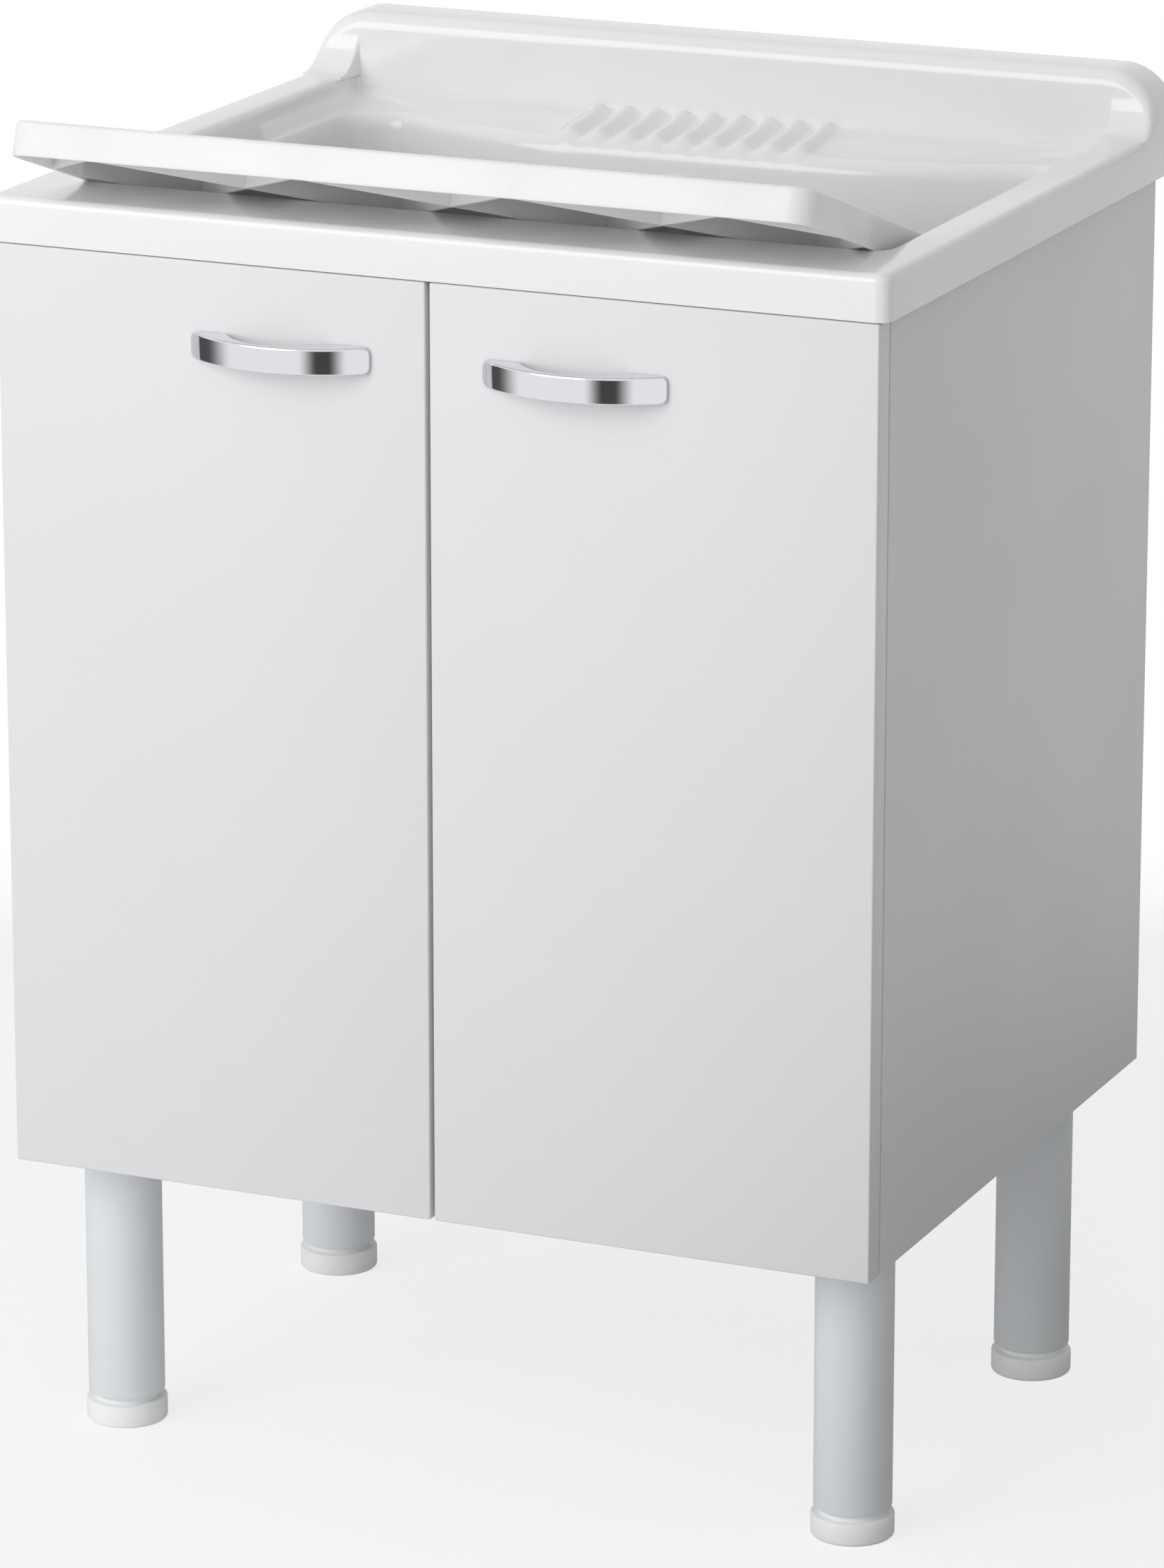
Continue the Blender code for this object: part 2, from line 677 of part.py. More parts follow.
def rib_mesh(name, x, radius, height, length, back_y, back_z, slope, embed):
    """A half-round rib lying on the ledge, rounded at its lower end."""
    rows = []
    arcs = 6
    stations = [(0.0, 1.0), (length - RIB_NOSE, 1.0), (length - RIB_NOSE / 4, 0.7), (length, 0.15)]
    for run, swell in stations:
        y = back_y - run
        z = back_z - run * slope
        row = [(x + radius * swell, y, z - embed)]
        for i in range(arcs + 1):
            angle = math.pi * i / arcs
            row.append((x + radius * swell * math.cos(angle), y, z + height * swell * math.sin(angle)))
        row.append((x - radius * swell, y, z - embed))
        rows.append(row)
    return capped_loft(name, rows)


def make_basin():
    mesh = loft_mesh("sink_basin", basin_rings())
    made = place("sink_basin", mesh, WHITE_MOULDED)
    shell = made.modifiers.new("shell", "SOLIDIFY")
    shell.thickness = BASIN_WALL
    shell.offset = -1.0
    shell.use_even_offset = True
    shell.use_rim = True
    bake(made)
    boolean(made, splash_solid(), "UNION")
    slope = LEDGE_FALL / (LEDGE_DEPTH - LEDGE_COVE - LEDGE_ROUND)
    start = RIB_CENTRE_X - RIB_PITCH * (RIB_COUNT - 1) / 2
    for i in range(RIB_COUNT):
        x = start + RIB_PITCH * i
        rib = rib_mesh("rib_%d" % i, x, RIB_RADIUS, RIB_HEIGHT, RIB_LENGTH, PANEL_FACE,
                       LEDGE_BACK_Z, slope, RIB_ROOT)
        boolean(made, place("rib_%d" % i, rib, None, True), "UNION")
    cell_pitch = (2 * SPLASH_CELLS_X + SPLASH_WEB) / SPLASH_CELLS
    for i in range(SPLASH_CELLS):
        left = -SPLASH_CELLS_X + cell_pitch * i
        low = (left, PANEL_Y + SPLASH_WALL, RIM_TOP - SPLASH_CELL_DROP)
        high = (left + cell_pitch - SPLASH_WEB, RIM_REAR - SPLASH_WALL, SPLASH_TOP - SPLASH_WALL)
        boolean(made, box("splash_cell_%d" % i, low, high, cutter=True), "DIFFERENCE")
    boolean(made, pin("overflow_hole", OVERFLOW_HOLE, ELBOW_DEPTH, -ELBOW_DEPTH, OVERFLOW_AT, ROUND,
                      OVERFLOW_TURN), "DIFFERENCE")
    return made


make_basin()


# Washboard: shell open below with a diagonal lattice, made flat and then leant on the lip
def board_matrix():
    """From the flat board (front edge at y=0, underside at z=0) to its leaning place."""
    turn = Matrix.Rotation(-BOARD_TILT, 4, "X")
    return Matrix.Translation((0, SHIFT_Y + BOARD_FRONT_Y, BOARD_FRONT_Z)) @ turn


def make_washboard():
    half = BOARD_WIDTH / 2
    wall = BOARD_WALL
    top = BOARD_HEIGHT
    rings = []
    edge = BOARD_TOP_ROUND
    for inset, height in ((wall, top - wall), (wall, 0.0), (BOARD_FOOT_ROUND, 0.0), (0.0, BOARD_FOOT_ROUND),
                          (0.0, top - edge), (edge * 0.3, top - edge * 0.3), (edge, top)):
        outline = rounded_rectangle((inset - half, inset), (half - inset, BOARD_LENGTH - inset),
                                    BOARD_CORNER - inset, CORNER_SEGMENTS)
        rings.append([(x, y, height) for x, y in outline])
    made = place("washboard", capped_loft("washboard", rings), WHITE_RESIN)
    slope = math.atan2(LATTICE_RUN, LATTICE_PITCH / 2)
    lattice = None
    for lean in (1, -1):
        for i in range(-5, 6):
            start = Vector((LATTICE_PITCH * (i + 0.5), 0, 0))
            direction = Vector((math.cos(slope) * lean, math.sin(slope), 0))
            sides = sorted((bound - start.x) / direction.x for bound in (wall / 2 - half, half - wall / 2))
            ends = sorted((bound - start.y) / direction.y for bound in (wall / 2, BOARD_LENGTH - wall / 2))
            first = max(sides[0], ends[0]) - LATTICE_OVERRUN
            final = min(sides[1], ends[1]) + LATTICE_OVERRUN
            if final - first < LATTICE_SHORTEST:
                continue
            name = "lattice_%d_%d" % (lean, i)
            lift = LATTICE_LIFT + LATTICE_LEVELS * lean
            bar_mesh = box_mesh(name, (first, -LATTICE_WALL / 2, lift),
                                (final, LATTICE_WALL / 2, BOARD_HEIGHT - wall / 2 + lift / 2))
            angle = slope if lean > 0 else math.pi - slope
            bar_mesh.transform(Matrix.Translation(start) @ Matrix.Rotation(angle, 4, "Z"))
            bar = place(name, bar_mesh, None, True)
            if lattice is None:
                lattice = bar
            else:
                boolean(lattice, bar, "UNION")
    fit = rounded_rectangle((wall / 2 - half, wall / 2), (half - wall / 2, BOARD_LENGTH - wall / 2),
                            BOARD_CORNER - wall / 2, CORNER_SEGMENTS)
    trim = place("lattice_trim", flat_mesh("lattice_trim", fit, -CUTTER_SPARE, BOARD_HEIGHT), None, True)
    boolean(lattice, trim, "INTERSECT")
    boolean(made, lattice, "UNION")
    start = (BOARD_LENGTH - RIDGE_PITCH * RIDGE_COUNT) / 2
    end = start + RIDGE_PITCH * RIDGE_COUNT
    level = BOARD_HEIGHT - RIDGE_SINK
    radius = RIDGE_PITCH * RIDGE_SHARE
    wave = []
    for i in range(RIDGE_COUNT):
        for y, z in arc((start + RIDGE_PITCH * (i + 0.5), 0), radius, 180, 0, 6):
            wave.append((y, level + z * RIDGE_HEIGHT / radius))
    foot = BOARD_HEIGHT - RIDGE_ROOT
    wave += [(end, level), (end, foot), (start, foot), (start, level)]
    ridge_mesh = flat_mesh("ridges", wave, -RIDGE_WIDTH / 2, RIDGE_WIDTH / 2)
    turned(ridge_mesh, (Vector((0, 1, 0)), Vector((0, 0, 1)), Vector((1, 0, 0))))
    boolean(made, place("ridges", ridge_mesh, None, True), "UNION")
    bake(made)
    made.data.transform(board_matrix())
    return made


make_washboard()

# Carcass boards
for side, sign in (("left", -1), ("right", 1)):
    inner = sign * SIDE_IN
    outer = sign * SIDE_OUT
    box(side + "_side_panel", (min(inner, outer), SIDE_FRONT, CABINET_BOTTOM),
        (max(inner, outer), SIDE_REAR, SIDE_TOP), WHITE_BOARD, BOARD_EDGE)
BETWEEN = SIDE_IN - SEAT
box("bottom_panel", (-BETWEEN, SIDE_FRONT, CABINET_BOTTOM),
    (BETWEEN, SIDE_REAR, CABINET_BOTTOM + BOARD_STOCK), WHITE_BOARD, BOARD_EDGE)
box("front_rail", (-BETWEEN, SIDE_FRONT, SIDE_TOP - FRONT_RAIL_HEIGHT),
    (BETWEEN, SIDE_FRONT + RAIL_STOCK, SIDE_TOP), WHITE_BOARD, BOARD_EDGE)
box("upper_back_rail", (-BETWEEN, SIDE_REAR - RAIL_STOCK, RIM_BOTTOM - BACK_RAIL_HEIGHT),
    (BETWEEN, SIDE_REAR, RIM_BOTTOM), WHITE_BOARD, BOARD_EDGE)
box("lower_back_rail", (-BETWEEN, SIDE_REAR - RAIL_STOCK, CABINET_BOTTOM + BOARD_STOCK + SEAT),
    (BETWEEN, SIDE_REAR, CABINET_BOTTOM + BOARD_STOCK + SEAT + BACK_RAIL_HEIGHT), WHITE_BOARD, BOARD_EDGE)

# Doors, each turning on an upright axis near its outer edge, with handle and two concealed hinges
CUP_X = SIDE_OUT - CUP_EDGE - CUP_DIAMETER / 2
PIVOT_X = SIDE_OUT - PIVOT_IN
PIVOT_Y = DOOR_FRONT + BOARD_STOCK / 2
HINGE_HEIGHTS = (("lower", CABINET_BOTTOM + HINGE_INSET), ("upper", DOOR_TOP - HINGE_INSET))
HANDLE_Z = DOOR_TOP - HANDLE_DROP


def handle_outline():
    """Bow seen from above: outer arc, flat pads on the door, inner arc."""
    half = HANDLE_LENGTH / 2
    rise = HANDLE_RISE
    radius = (half * half + rise * rise) / (2 * rise)
    swing = math.degrees(math.asin(half / radius))
    outer = arc((0, radius - rise), radius, -90 - swing, -90 + swing, 16)
    half = HANDLE_LENGTH / 2 - HANDLE_PAD
    rise = HANDLE_RISE - HANDLE_THICK
    radius = (half * half + rise * rise) / (2 * rise)
    swing = math.degrees(math.asin(half / radius))
    inner = arc((0, radius - rise), radius, -90 + swing, -90 - swing, 10)
    return outer + inner


def cup_mesh(name):
    """Hinge cup with its screw wings, opening along +Z, flange resting on z=0."""
    radius = CUP_DIAMETER / 2
    rim = radius + CUP_RIM
    outside = [(0.0, CUP_FLANGE), (rim, CUP_FLANGE), (rim, 0.0), (radius, 0.0), (radius, -CUP_DEPTH),
               (0.0, -CUP_DEPTH)]
    made = place(name + "_blank", lathe_mesh(name, outside, ROUND_MIDDLE), None, True)
    wing = rounded_rectangle((-WING_WIDTH / 2, -WING_SPAN / 2), (WING_WIDTH / 2, WING_SPAN / 2), WING_CORNER,
                             CORNER_SEGMENTS)
    shy = CUP_FLANGE * 0.02
    wing_mesh = flat_mesh(name + "_wing", wing, shy, CUP_FLANGE - shy)
    boolean(made, place(name + "_wing", wing_mesh, None, True), "UNION")
    boolean(made, pin(name + "_hollow", radius - CUP_WALL, CUTTER_SPARE, CUP_WALL - CUP_DEPTH, (0, 0, 0),
                      ROUND_MIDDLE), "DIFFERENCE")
    return baked(made)


def plate_mesh(name, height, sign):
    """Mounting plate of a hinge, flat against the side panel."""
    low = (SIDE_FRONT + PLATE_START, height - PLATE_HEIGHT / 2)
    high = (SIDE_FRONT + PLATE_START + PLATE_LENGTH, height + PLATE_HEIGHT / 2)
    outline = rounded_rectangle(low, high, PLATE_CORNER, CORNER_SEGMENTS)
    face = SIDE_IN - SEAT
    mesh = flat_mesh(name, outline, face - PLATE_THICK, face)
    return closed(turned(mesh, (Vector((0, 1, 0)), Vector((0, 0, 1)), Vector((sign, 0, 0)))))


def arm_mesh(name, height, sign):
    """Hinge arm seen from above: a bar on the plate with a head that reaches into the cup."""
    back = SIDE_IN - SEAT - PLATE_THICK - SEAT
    start = SIDE_FRONT + ARM_HEAD_OUT
    end = SIDE_FRONT + ARM_LENGTH
    nose = DOOR_BACK - ARM_REACH
    bend = ARM_HEAD_ROUND
    outline = [(back, start + bend), (back, end), (back - ARM_DEPTH + ARM_HEAD_OUT, end - ARM_HEAD_OUT),
               (back - ARM_DEPTH, end - ARM_DEPTH), (back - ARM_DEPTH, SIDE_FRONT + ARM_NECK),
               (back - ARM_HEAD, start + ARM_HEAD_OUT), (back - ARM_HEAD, nose + bend),
               (back - ARM_HEAD + bend, nose), (back + ARM_HEAD_OUT - bend, nose),
               (back + ARM_HEAD_OUT, nose + bend), (back + ARM_HEAD_OUT, start)]
    outline = [(sign * x, y) for x, y in outline]
    return flat_mesh(name, outline, height - ARM_WIDTH / 2, height + ARM_WIDTH / 2)


for side, sign in (("left", -1), ("right", 1)):
    inner = sign * DOOR_GAP / 2
    outer = sign * SIDE_OUT
    hinge_point = Vector((sign * PIVOT_X, PIVOT_Y, CABINET_BOTTOM))
    door = box(side + "_door", (min(inner, outer), DOOR_FRONT, CABINET_BOTTOM),
               (max(inner, outer), DOOR_BACK, DOOR_TOP), WHITE_BOARD, DOOR_EDGE, 2)
    bake(door)
    movers = [door]
    facing = Matrix.Rotation(-math.pi / 2, 4, "X")
    pocket_radius = CUP_DIAMETER / 2 + SEAT
    pocket_depth = CUP_DEPTH + SEAT
    for level, height in HINGE_HEIGHTS:
        name = side + "_" + level
        at = Vector((sign * CUP_X, DOOR_BACK, height))
        pocket = pin(name + "_pocket", pocket_radius, CUTTER_SPARE, -pocket_depth, at, ROUND_MIDDLE, facing)
        boolean(door, pocket, "DIFFERENCE")
        cup = cup_mesh(name + "_hinge_cup")
        cup.transform(Matrix.Translation(at + Vector((0, SEAT, 0))) @ facing)
        movers.append(place(name + "_hinge_cup", cup, NICKEL))
        place(name + "_hinge_plate", plate_mesh(name + "_hinge_plate", height, sign), NICKEL)
        arm = place(name + "_hinge_arm", arm_mesh(name + "_hinge_arm", height, sign), NICKEL)
        round_edges(arm, ARM_EDGE, 1, 40)
    bow_mesh = flat_mesh(side + "_handle", handle_outline(), -HANDLE_STRAP / 2, HANDLE_STRAP / 2, HANDLE_EDGE)
    bow_mesh.transform(Matrix.Translation((sign * HANDLE_X, DOOR_FRONT - SEAT, HANDLE_Z)))
    movers.append(place(side + "_handle", bow_mesh, CHROME))
    for mover in movers:
        mover.data.transform(Matrix.Translation(-hinge_point))
        mover.location = hinge_point

# Legs with mounting plates and levelling feet
BORE = STUD_DIAMETER / 2 + RUN
for row, depth in (("front", SIDE_FRONT + LEG_FRONT_IN), ("rear", SIDE_REAR - LEG_REAR_IN)):
    for side, sign in (("left", -1), ("right", 1)):
        name = row + "_" + side
        at = Vector((sign * LEG_X, depth, 0.0))
        plate_top = CABINET_BOTTOM - SEAT
        plate_low = plate_top - LEG_PLATE_THICK
        leg = LEG_DIAMETER / 2
        tube_in = leg - LEG_WALL
        boss = tube_in - SEAT
        plate = LEG_PLATE_DIAMETER / 2
        boss_low = plate_low - LEG_BOSS_LENGTH
        lathe(name + "_leg_plate",
              [(0, plate_top), (plate, plate_top), (plate, plate_low + LEG_PLATE_EDGE / 2),
               (plate - LEG_PLATE_EDGE, plate_low), (boss, plate_low), (boss, boss_low), (0, boss_low)],
              at, GREY_LEG)
        top = plate_low - SEAT
        low = FOOT_HEIGHT + FOOT_NECK
        bore_top = low + STUD_LENGTH + BORE_SPARE
        plug_top = bore_top + LEG_PLUG
        lathe(name + "_leg",
              [(tube_in, top), (leg, top), (leg, low + LEG_EDGE), (leg - LEG_EDGE, low), (BORE, low),
               (BORE, bore_top), (0, bore_top), (0, plug_top), (tube_in, plug_top)], at, GREY_LEG)
        pad = FOOT_DIAMETER / 2
        stud = STUD_DIAMETER / 2
        neck = leg - FOOT_NECK_IN
        lathe(name + "_foot",
              [(0, low + STUD_LENGTH), (stud, low + STUD_LENGTH), (stud, low - SEAT), (neck, low - SEAT),
               (neck, FOOT_HEIGHT), (pad - FOOT_TOP_EDGE, FOOT_HEIGHT), (pad, FOOT_HEIGHT - FOOT_TOP_EDGE),
               (pad, FOOT_EDGE), (pad - FOOT_EDGE, 0), (0, 0)], at, WHITE_RESIN)

NUT_SIDES = 12
FLAT_TO_CORNER = 1 / math.cos(math.pi / NUT_SIDES)


def nut(name, inner, outer, top, low, at, turn=None):
    """A twelve-sided union nut, a little wider at its low end, bored to clear a round pipe."""
    clear = inner * FLAT_TO_CORNER
    lathe(name, [(clear, top), (outer, top), (outer + NUT_TAPER, low), (clear, low)], at, WHITE_RESIN,
          NUT_SIDES, turn)


# Waste: strainer flange, gasket, nut, body with overflow inlet, tail pipe, bottle trap and outlet
DRAIN_AT = Vector((0.0, SHIFT_Y + DRAIN_BACK, 0.0))
TUBE_BOTTOM = DRAIN_Z - WASTE_TUBE_LENGTH
tube = WASTE_TUBE_RADIUS
bore = tube - STRAINER_WALL
dish = DRAIN_Z + STRAINER_DISH
flange = lathe("waste_strainer",
               [(0, dish), (bore - STRAINER_DISH, dish), (bore + STRAINER_FLOOR, DRAIN_Z + STRAINER_RISE),
                (FLANGE_RADIUS - NUT_TAPER, DRAIN_Z + STRAINER_RISE * 0.8), (FLANGE_RADIUS, DRAIN_Z + SEAT),
                (tube, DRAIN_Z + SEAT), (tube, TUBE_BOTTOM), (bore, TUBE_BOTTOM),
                (bore, DRAIN_Z - STRAINER_FLOOR), (0, DRAIN_Z - STRAINER_FLOOR)], DRAIN_AT, STEEL)
hole_places = [Vector((0, 0, 0))]
for i in range(STRAINER_HOLES):
    angle = math.tau * i / STRAINER_HOLES
    hole_places.append(Vector((math.cos(angle), math.sin(angle), 0)) * STRAINER_CIRCLE)
for i, spot in enumerate(hole_places):
    hole = pin("strainer_hole_%d" % i, STRAINER_HOLE, DRAIN_Z + CUTTER_SPARE, DRAIN_Z - CUTTER_SPARE,
               DRAIN_AT + spot, ROUND_SMALL)
    boolean(flange, hole, "DIFFERENCE")
UNDER = DRAIN_Z - BASIN_WALL - SEAT
GASKET_LOW = UNDER - GASKET_THICK
lathe("waste_gasket", [(tube + RUN, UNDER), (FLANGE_RADIUS, UNDER), (FLANGE_RADIUS, GASKET_LOW),
                       (tube + RUN, GASKET_LOW)], DRAIN_AT, RUBBER)
NUT_TOP = GASKET_LOW - SEAT
NUT_LOW = NUT_TOP - NUT_HEIGHT
nut("waste_nut", tube + SEAT, FLANGE_RADIUS - NUT_TAPER, NUT_TOP, NUT_LOW, DRAIN_AT)
BODY_TOP = NUT_LOW - SEAT
BODY_LOW = BODY_TOP - WASTE_BODY_LENGTH
SPIGOT_Z = BODY_TOP - SPIGOT_DROP
body_in = tube + RUN
body_out = body_in + BODY_WALL
neck_in = PIPE_RADIUS + SEAT
neck_out = neck_in + NECK_WALL
neck_top = BODY_LOW + BODY_NECK
body = lathe("waste_body",
             [(body_in, BODY_TOP), (body_out, BODY_TOP), (body_out, neck_top + NECK_WALL),
              (neck_out, neck_top), (neck_out, BODY_LOW), (neck_in, BODY_LOW),
              (neck_in, neck_top + NECK_WALL), (body_in, neck_top + 2 * NECK_WALL)], DRAIN_AT, WHITE_RESIN)
AIM_BACK = Matrix.Rotation(-math.pi / 2, 4, "X")
SPIGOT_AT = DRAIN_AT + Vector((0, 0, SPIGOT_Z))
SPIGOT_REACH = body_out + SPIGOT_LENGTH

boolean(body, pin("overflow_spigot", SPIGOT_RADIUS, SPIGOT_REACH, body_out - BODY_WALL * 0.7, SPIGOT_AT,
                  ROUND_MIDDLE, AIM_BACK), "UNION")
boolean(body, pin("overflow_spigot_bore", SPIGOT_BORE, SPIGOT_REACH + CUTTER_SPARE, body_in - CUTTER_SPARE,
                  SPIGOT_AT, ROUND_MIDDLE, AIM_BACK), "DIFFERENCE")
TAIL_TOP = BODY_LOW + PIPE_LAP
TAIL_LOW = TAIL_TOP - TAIL_LENGTH
pipe = PIPE_RADIUS
pipe_bore = PIPE_RADIUS - PIPE_WALL
lathe("tail_pipe", [(pipe_bore, TAIL_TOP), (pipe, TAIL_TOP), (pipe, TAIL_LOW), (pipe_bore, TAIL_LOW)],
      DRAIN_AT, WHITE_RESIN)
TRAP_TOP = TAIL_LOW + TAIL_IN_TRAP
TRAP_LOW = TRAP_TOP - TRAP_HEIGHT
OUTLET_AT = DRAIN_AT + Vector((0, 0, TRAP_TOP - OUTLET_DROP))
nut("tail_nut", pipe + SEAT, pipe + NUT_WALL, TRAP_TOP + UNION_HEIGHT, TRAP_TOP + SEAT, DRAIN_AT)
trap_in = TRAP_RADIUS - TRAP_WALL
trap_neck = pipe + TRAP_NECK_WALL
ceiling = TRAP_TOP - TRAP_SHOULDER - TRAP_WALL
trap = lathe("trap_body",
             [(pipe + SEAT, TRAP_TOP), (trap_neck, TRAP_TOP), (trap_neck, TRAP_TOP - TRAP_NECK),
              (TRAP_RADIUS, TRAP_TOP - TRAP_SHOULDER), (TRAP_RADIUS, TRAP_LOW), (trap_in, TRAP_LOW),
              (trap_in, ceiling), (pipe + SEAT, TRAP_TOP - TRAP_NECK - TRAP_WALL)], DRAIN_AT, WHITE_RESIN)
socket_bore = pipe + SEAT
socket_out = socket_bore + TRAP_WALL
socket_end = TRAP_RADIUS + OUTLET_SOCKET
boolean(trap, pin("trap_outlet", socket_out, socket_end, trap_in - CUTTER_SPARE, OUTLET_AT, ROUND, AIM_BACK),
        "UNION")
boolean(trap, pin("trap_inside", trap_in, ceiling, TRAP_LOW + SEAT, DRAIN_AT, ROUND), "DIFFERENCE")
boolean(trap, pin("trap_outlet_bore", socket_bore, socket_end + CUTTER_SPARE, pipe, OUTLET_AT, ROUND,
                  AIM_BACK), "DIFFERENCE")
cup_in = TRAP_RADIUS + SEAT
cup_out = cup_in + TRAP_CUP_WALL
cup_rim = TRAP_LOW + TRAP_CUP_LAP
cup_low = TRAP_LOW - TRAP_CUP_DEPTH
cup_floor = cup_low + TRAP_CUP_BOTTOM
lathe("trap_cup",
      [(cup_in, cup_rim), (cup_out, cup_rim), (cup_out, TRAP_LOW - 2 * TRAP_CUP_WALL),
       (cup_out - TRAP_CUP_WALL, cup_low + 2 * TRAP_CUP_WALL), (TRAP_CUP_FLAT, cup_low), (0, cup_low),
       (0, cup_floor), (TRAP_CUP_FLAT, cup_floor), (trap_in - SEAT, cup_floor + 2 * TRAP_CUP_WALL),
       (trap_in, TRAP_LOW - SEAT), (cup_in, TRAP_LOW - SEAT)], DRAIN_AT, WHITE_RESIN)
PIPE_START = TRAP_RADIUS + TRAP_WALL
PIPE_END = RIM_REAR - DRAIN_AT.y
nut("outlet_nut", pipe + SEAT, pipe + NUT_WALL, socket_end + UNION_HEIGHT, socket_end + SEAT, OUTLET_AT,
    AIM_BACK)
lathe("outlet_pipe", [(pipe_bore, PIPE_END), (pipe, PIPE_END), (pipe, PIPE_START), (pipe_bore, PIPE_START)],
      OUTLET_AT, WHITE_RESIN, ROUND, AIM_BACK)

# Overflow: rosette in the rear wall, elbow behind it and a hose down to the waste body
rosette_top = ROSETTE_RISE + SEAT
lathe("overflow_rosette",
      [(OVERFLOW_MOUTH, rosette_top), (OVERFLOW_RADIUS - ROSETTE_RISE / 2, rosette_top),
       (OVERFLOW_RADIUS, rosette_top / 2), (OVERFLOW_RADIUS, SEAT), (ROSETTE_TUBE, SEAT),
       (ROSETTE_TUBE, -ROSETTE_LENGTH), (ROSETTE_BORE, -ROSETTE_LENGTH), (ROSETTE_BORE, RUN),
       (OVERFLOW_MOUTH, RUN)], OVERFLOW_AT, WHITE_RESIN, ROUND_MIDDLE, OVERFLOW_TURN)
behind = BASIN_WALL + SEAT
elbow = lathe("overflow_elbow",
              [(ELBOW_BORE, -behind), (ELBOW_FLANGE, -behind), (ELBOW_FLANGE, -behind - ELBOW_WALL),
               (ELBOW_RADIUS, -behind - ELBOW_WALL), (ELBOW_RADIUS, -ELBOW_DEPTH), (0, -ELBOW_DEPTH),
               (0, ELBOW_WALL - ELBOW_DEPTH), (ELBOW_BORE, ELBOW_WALL - ELBOW_DEPTH)],
              OVERFLOW_AT, WHITE_RESIN, ROUND_MIDDLE, OVERFLOW_TURN)
DROP_AT = OVERFLOW_AT + Vector((0, behind + ELBOW_RADIUS, 0))
boolean(elbow, pin("elbow_spigot", ELBOW_SPIGOT, -ELBOW_SPIGOT_TOP, -ELBOW_SPIGOT_LOW, DROP_AT, ROUND_MIDDLE),
        "UNION")
boolean(elbow, pin("elbow_bore", ELBOW_SPIGOT_BORE, -CUTTER_SPARE, -ELBOW_SPIGOT_LOW - CUTTER_SPARE, DROP_AT,
                   ROUND_MIDDLE), "DIFFERENCE")


def hose():
    """Flexible pipe as a bevelled curve from the elbow down and round to the waste body."""
    start = DROP_AT - Vector((0, 0, ELBOW_SPIGOT_LOW + SEAT))
    end = SPIGOT_AT + Vector((0, SPIGOT_REACH + SEAT, 0))
    curve = bpy.data.curves.new("overflow_hose", "CURVE")
    curve.dimensions = "3D"
    curve.bevel_depth = HOSE_RADIUS
    curve.bevel_resolution = 3
    curve.use_fill_caps = True
    curve.resolution_u = 10
    line = curve.splines.new("BEZIER")
    line.bezier_points.add(1)
    first = line.bezier_points[0]
    final = line.bezier_points[1]
    first.co = start
    final.co = end
    first.handle_left_type = first.handle_right_type = "FREE"
    final.handle_left_type = final.handle_right_type = "FREE"
    first.handle_left = start + Vector((0, 0, HOSE_RADIUS))
    first.handle_right = start - Vector((0, 0, (start.z - end.z) * HOSE_SAG))
    final.handle_left = end + Vector((0, HOSE_RUN, 0))
    final.handle_right = end - Vector((0, HOSE_RADIUS, 0))
    return place("overflow_hose", from_curve("overflow_hose", curve), GREY_HOSE)



hose()
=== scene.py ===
"""Laundry sink cabinet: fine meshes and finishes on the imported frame, laid out as an add-on."""

import math
from types import SimpleNamespace

import bmesh
import bpy
import numpy as np
from mathutils import Matrix, Vector


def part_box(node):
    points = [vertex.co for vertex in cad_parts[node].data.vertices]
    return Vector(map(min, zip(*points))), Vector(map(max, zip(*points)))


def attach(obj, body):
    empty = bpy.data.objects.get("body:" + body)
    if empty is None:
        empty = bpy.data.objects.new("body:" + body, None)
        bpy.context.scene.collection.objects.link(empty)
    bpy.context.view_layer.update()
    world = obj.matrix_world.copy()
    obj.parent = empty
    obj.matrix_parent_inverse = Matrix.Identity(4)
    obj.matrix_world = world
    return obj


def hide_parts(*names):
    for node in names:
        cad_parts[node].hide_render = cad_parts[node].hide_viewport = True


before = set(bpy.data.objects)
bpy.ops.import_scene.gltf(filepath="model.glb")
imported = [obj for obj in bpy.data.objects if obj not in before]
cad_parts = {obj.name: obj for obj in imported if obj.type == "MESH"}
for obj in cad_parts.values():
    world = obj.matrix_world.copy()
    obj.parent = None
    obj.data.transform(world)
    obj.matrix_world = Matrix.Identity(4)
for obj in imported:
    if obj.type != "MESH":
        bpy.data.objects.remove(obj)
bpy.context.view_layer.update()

bl_info = {
    "name": "Laundry sink cabinet",
    "version": (1, 0, 0),
    "blender": (4, 5, 0),
    "location": "View3D > Sidebar > Laundry sink",
    "description": "Moulded basin, washboard, board cabinet, fittings, waste and stage",
    "category": "Object",
}

# Lengths are in metres: the front faces -Y, the right side +X, and the floor is z=0
MM = 0.001
SEAT = 0.3 * MM
LIP_SEAT = 0.7 * MM
SIDES = (("left", -1), ("right", 1))
LEGS = ("front_left", "front_right", "rear_left", "rear_right")


def linear(code):
    """An sRGB hex colour as linear red, green and blue."""
    shares = [int(code[i:i + 2], 16) / 255 for i in (1, 3, 5)]
    return tuple(s / 12.92 if s <= 0.04045 else ((s + 0.055) / 1.055) ** 2.4 for s in shares)


def number(label, text, value, **more):
    """A plain setting."""
    return bpy.props.FloatProperty(name=label, description=text, default=value, **more)


def length(label, text, size):
    """A length setting, given in millimetres."""
    return number(label, text, size * MM, unit="LENGTH", precision=4)


def tint(label, text, code):
    """A colour setting, given as an sRGB hex value."""
    return bpy.props.FloatVectorProperty(name=label, description=text, default=linear(code), subtype="COLOR",
                                         min=0.0, max=1.0)


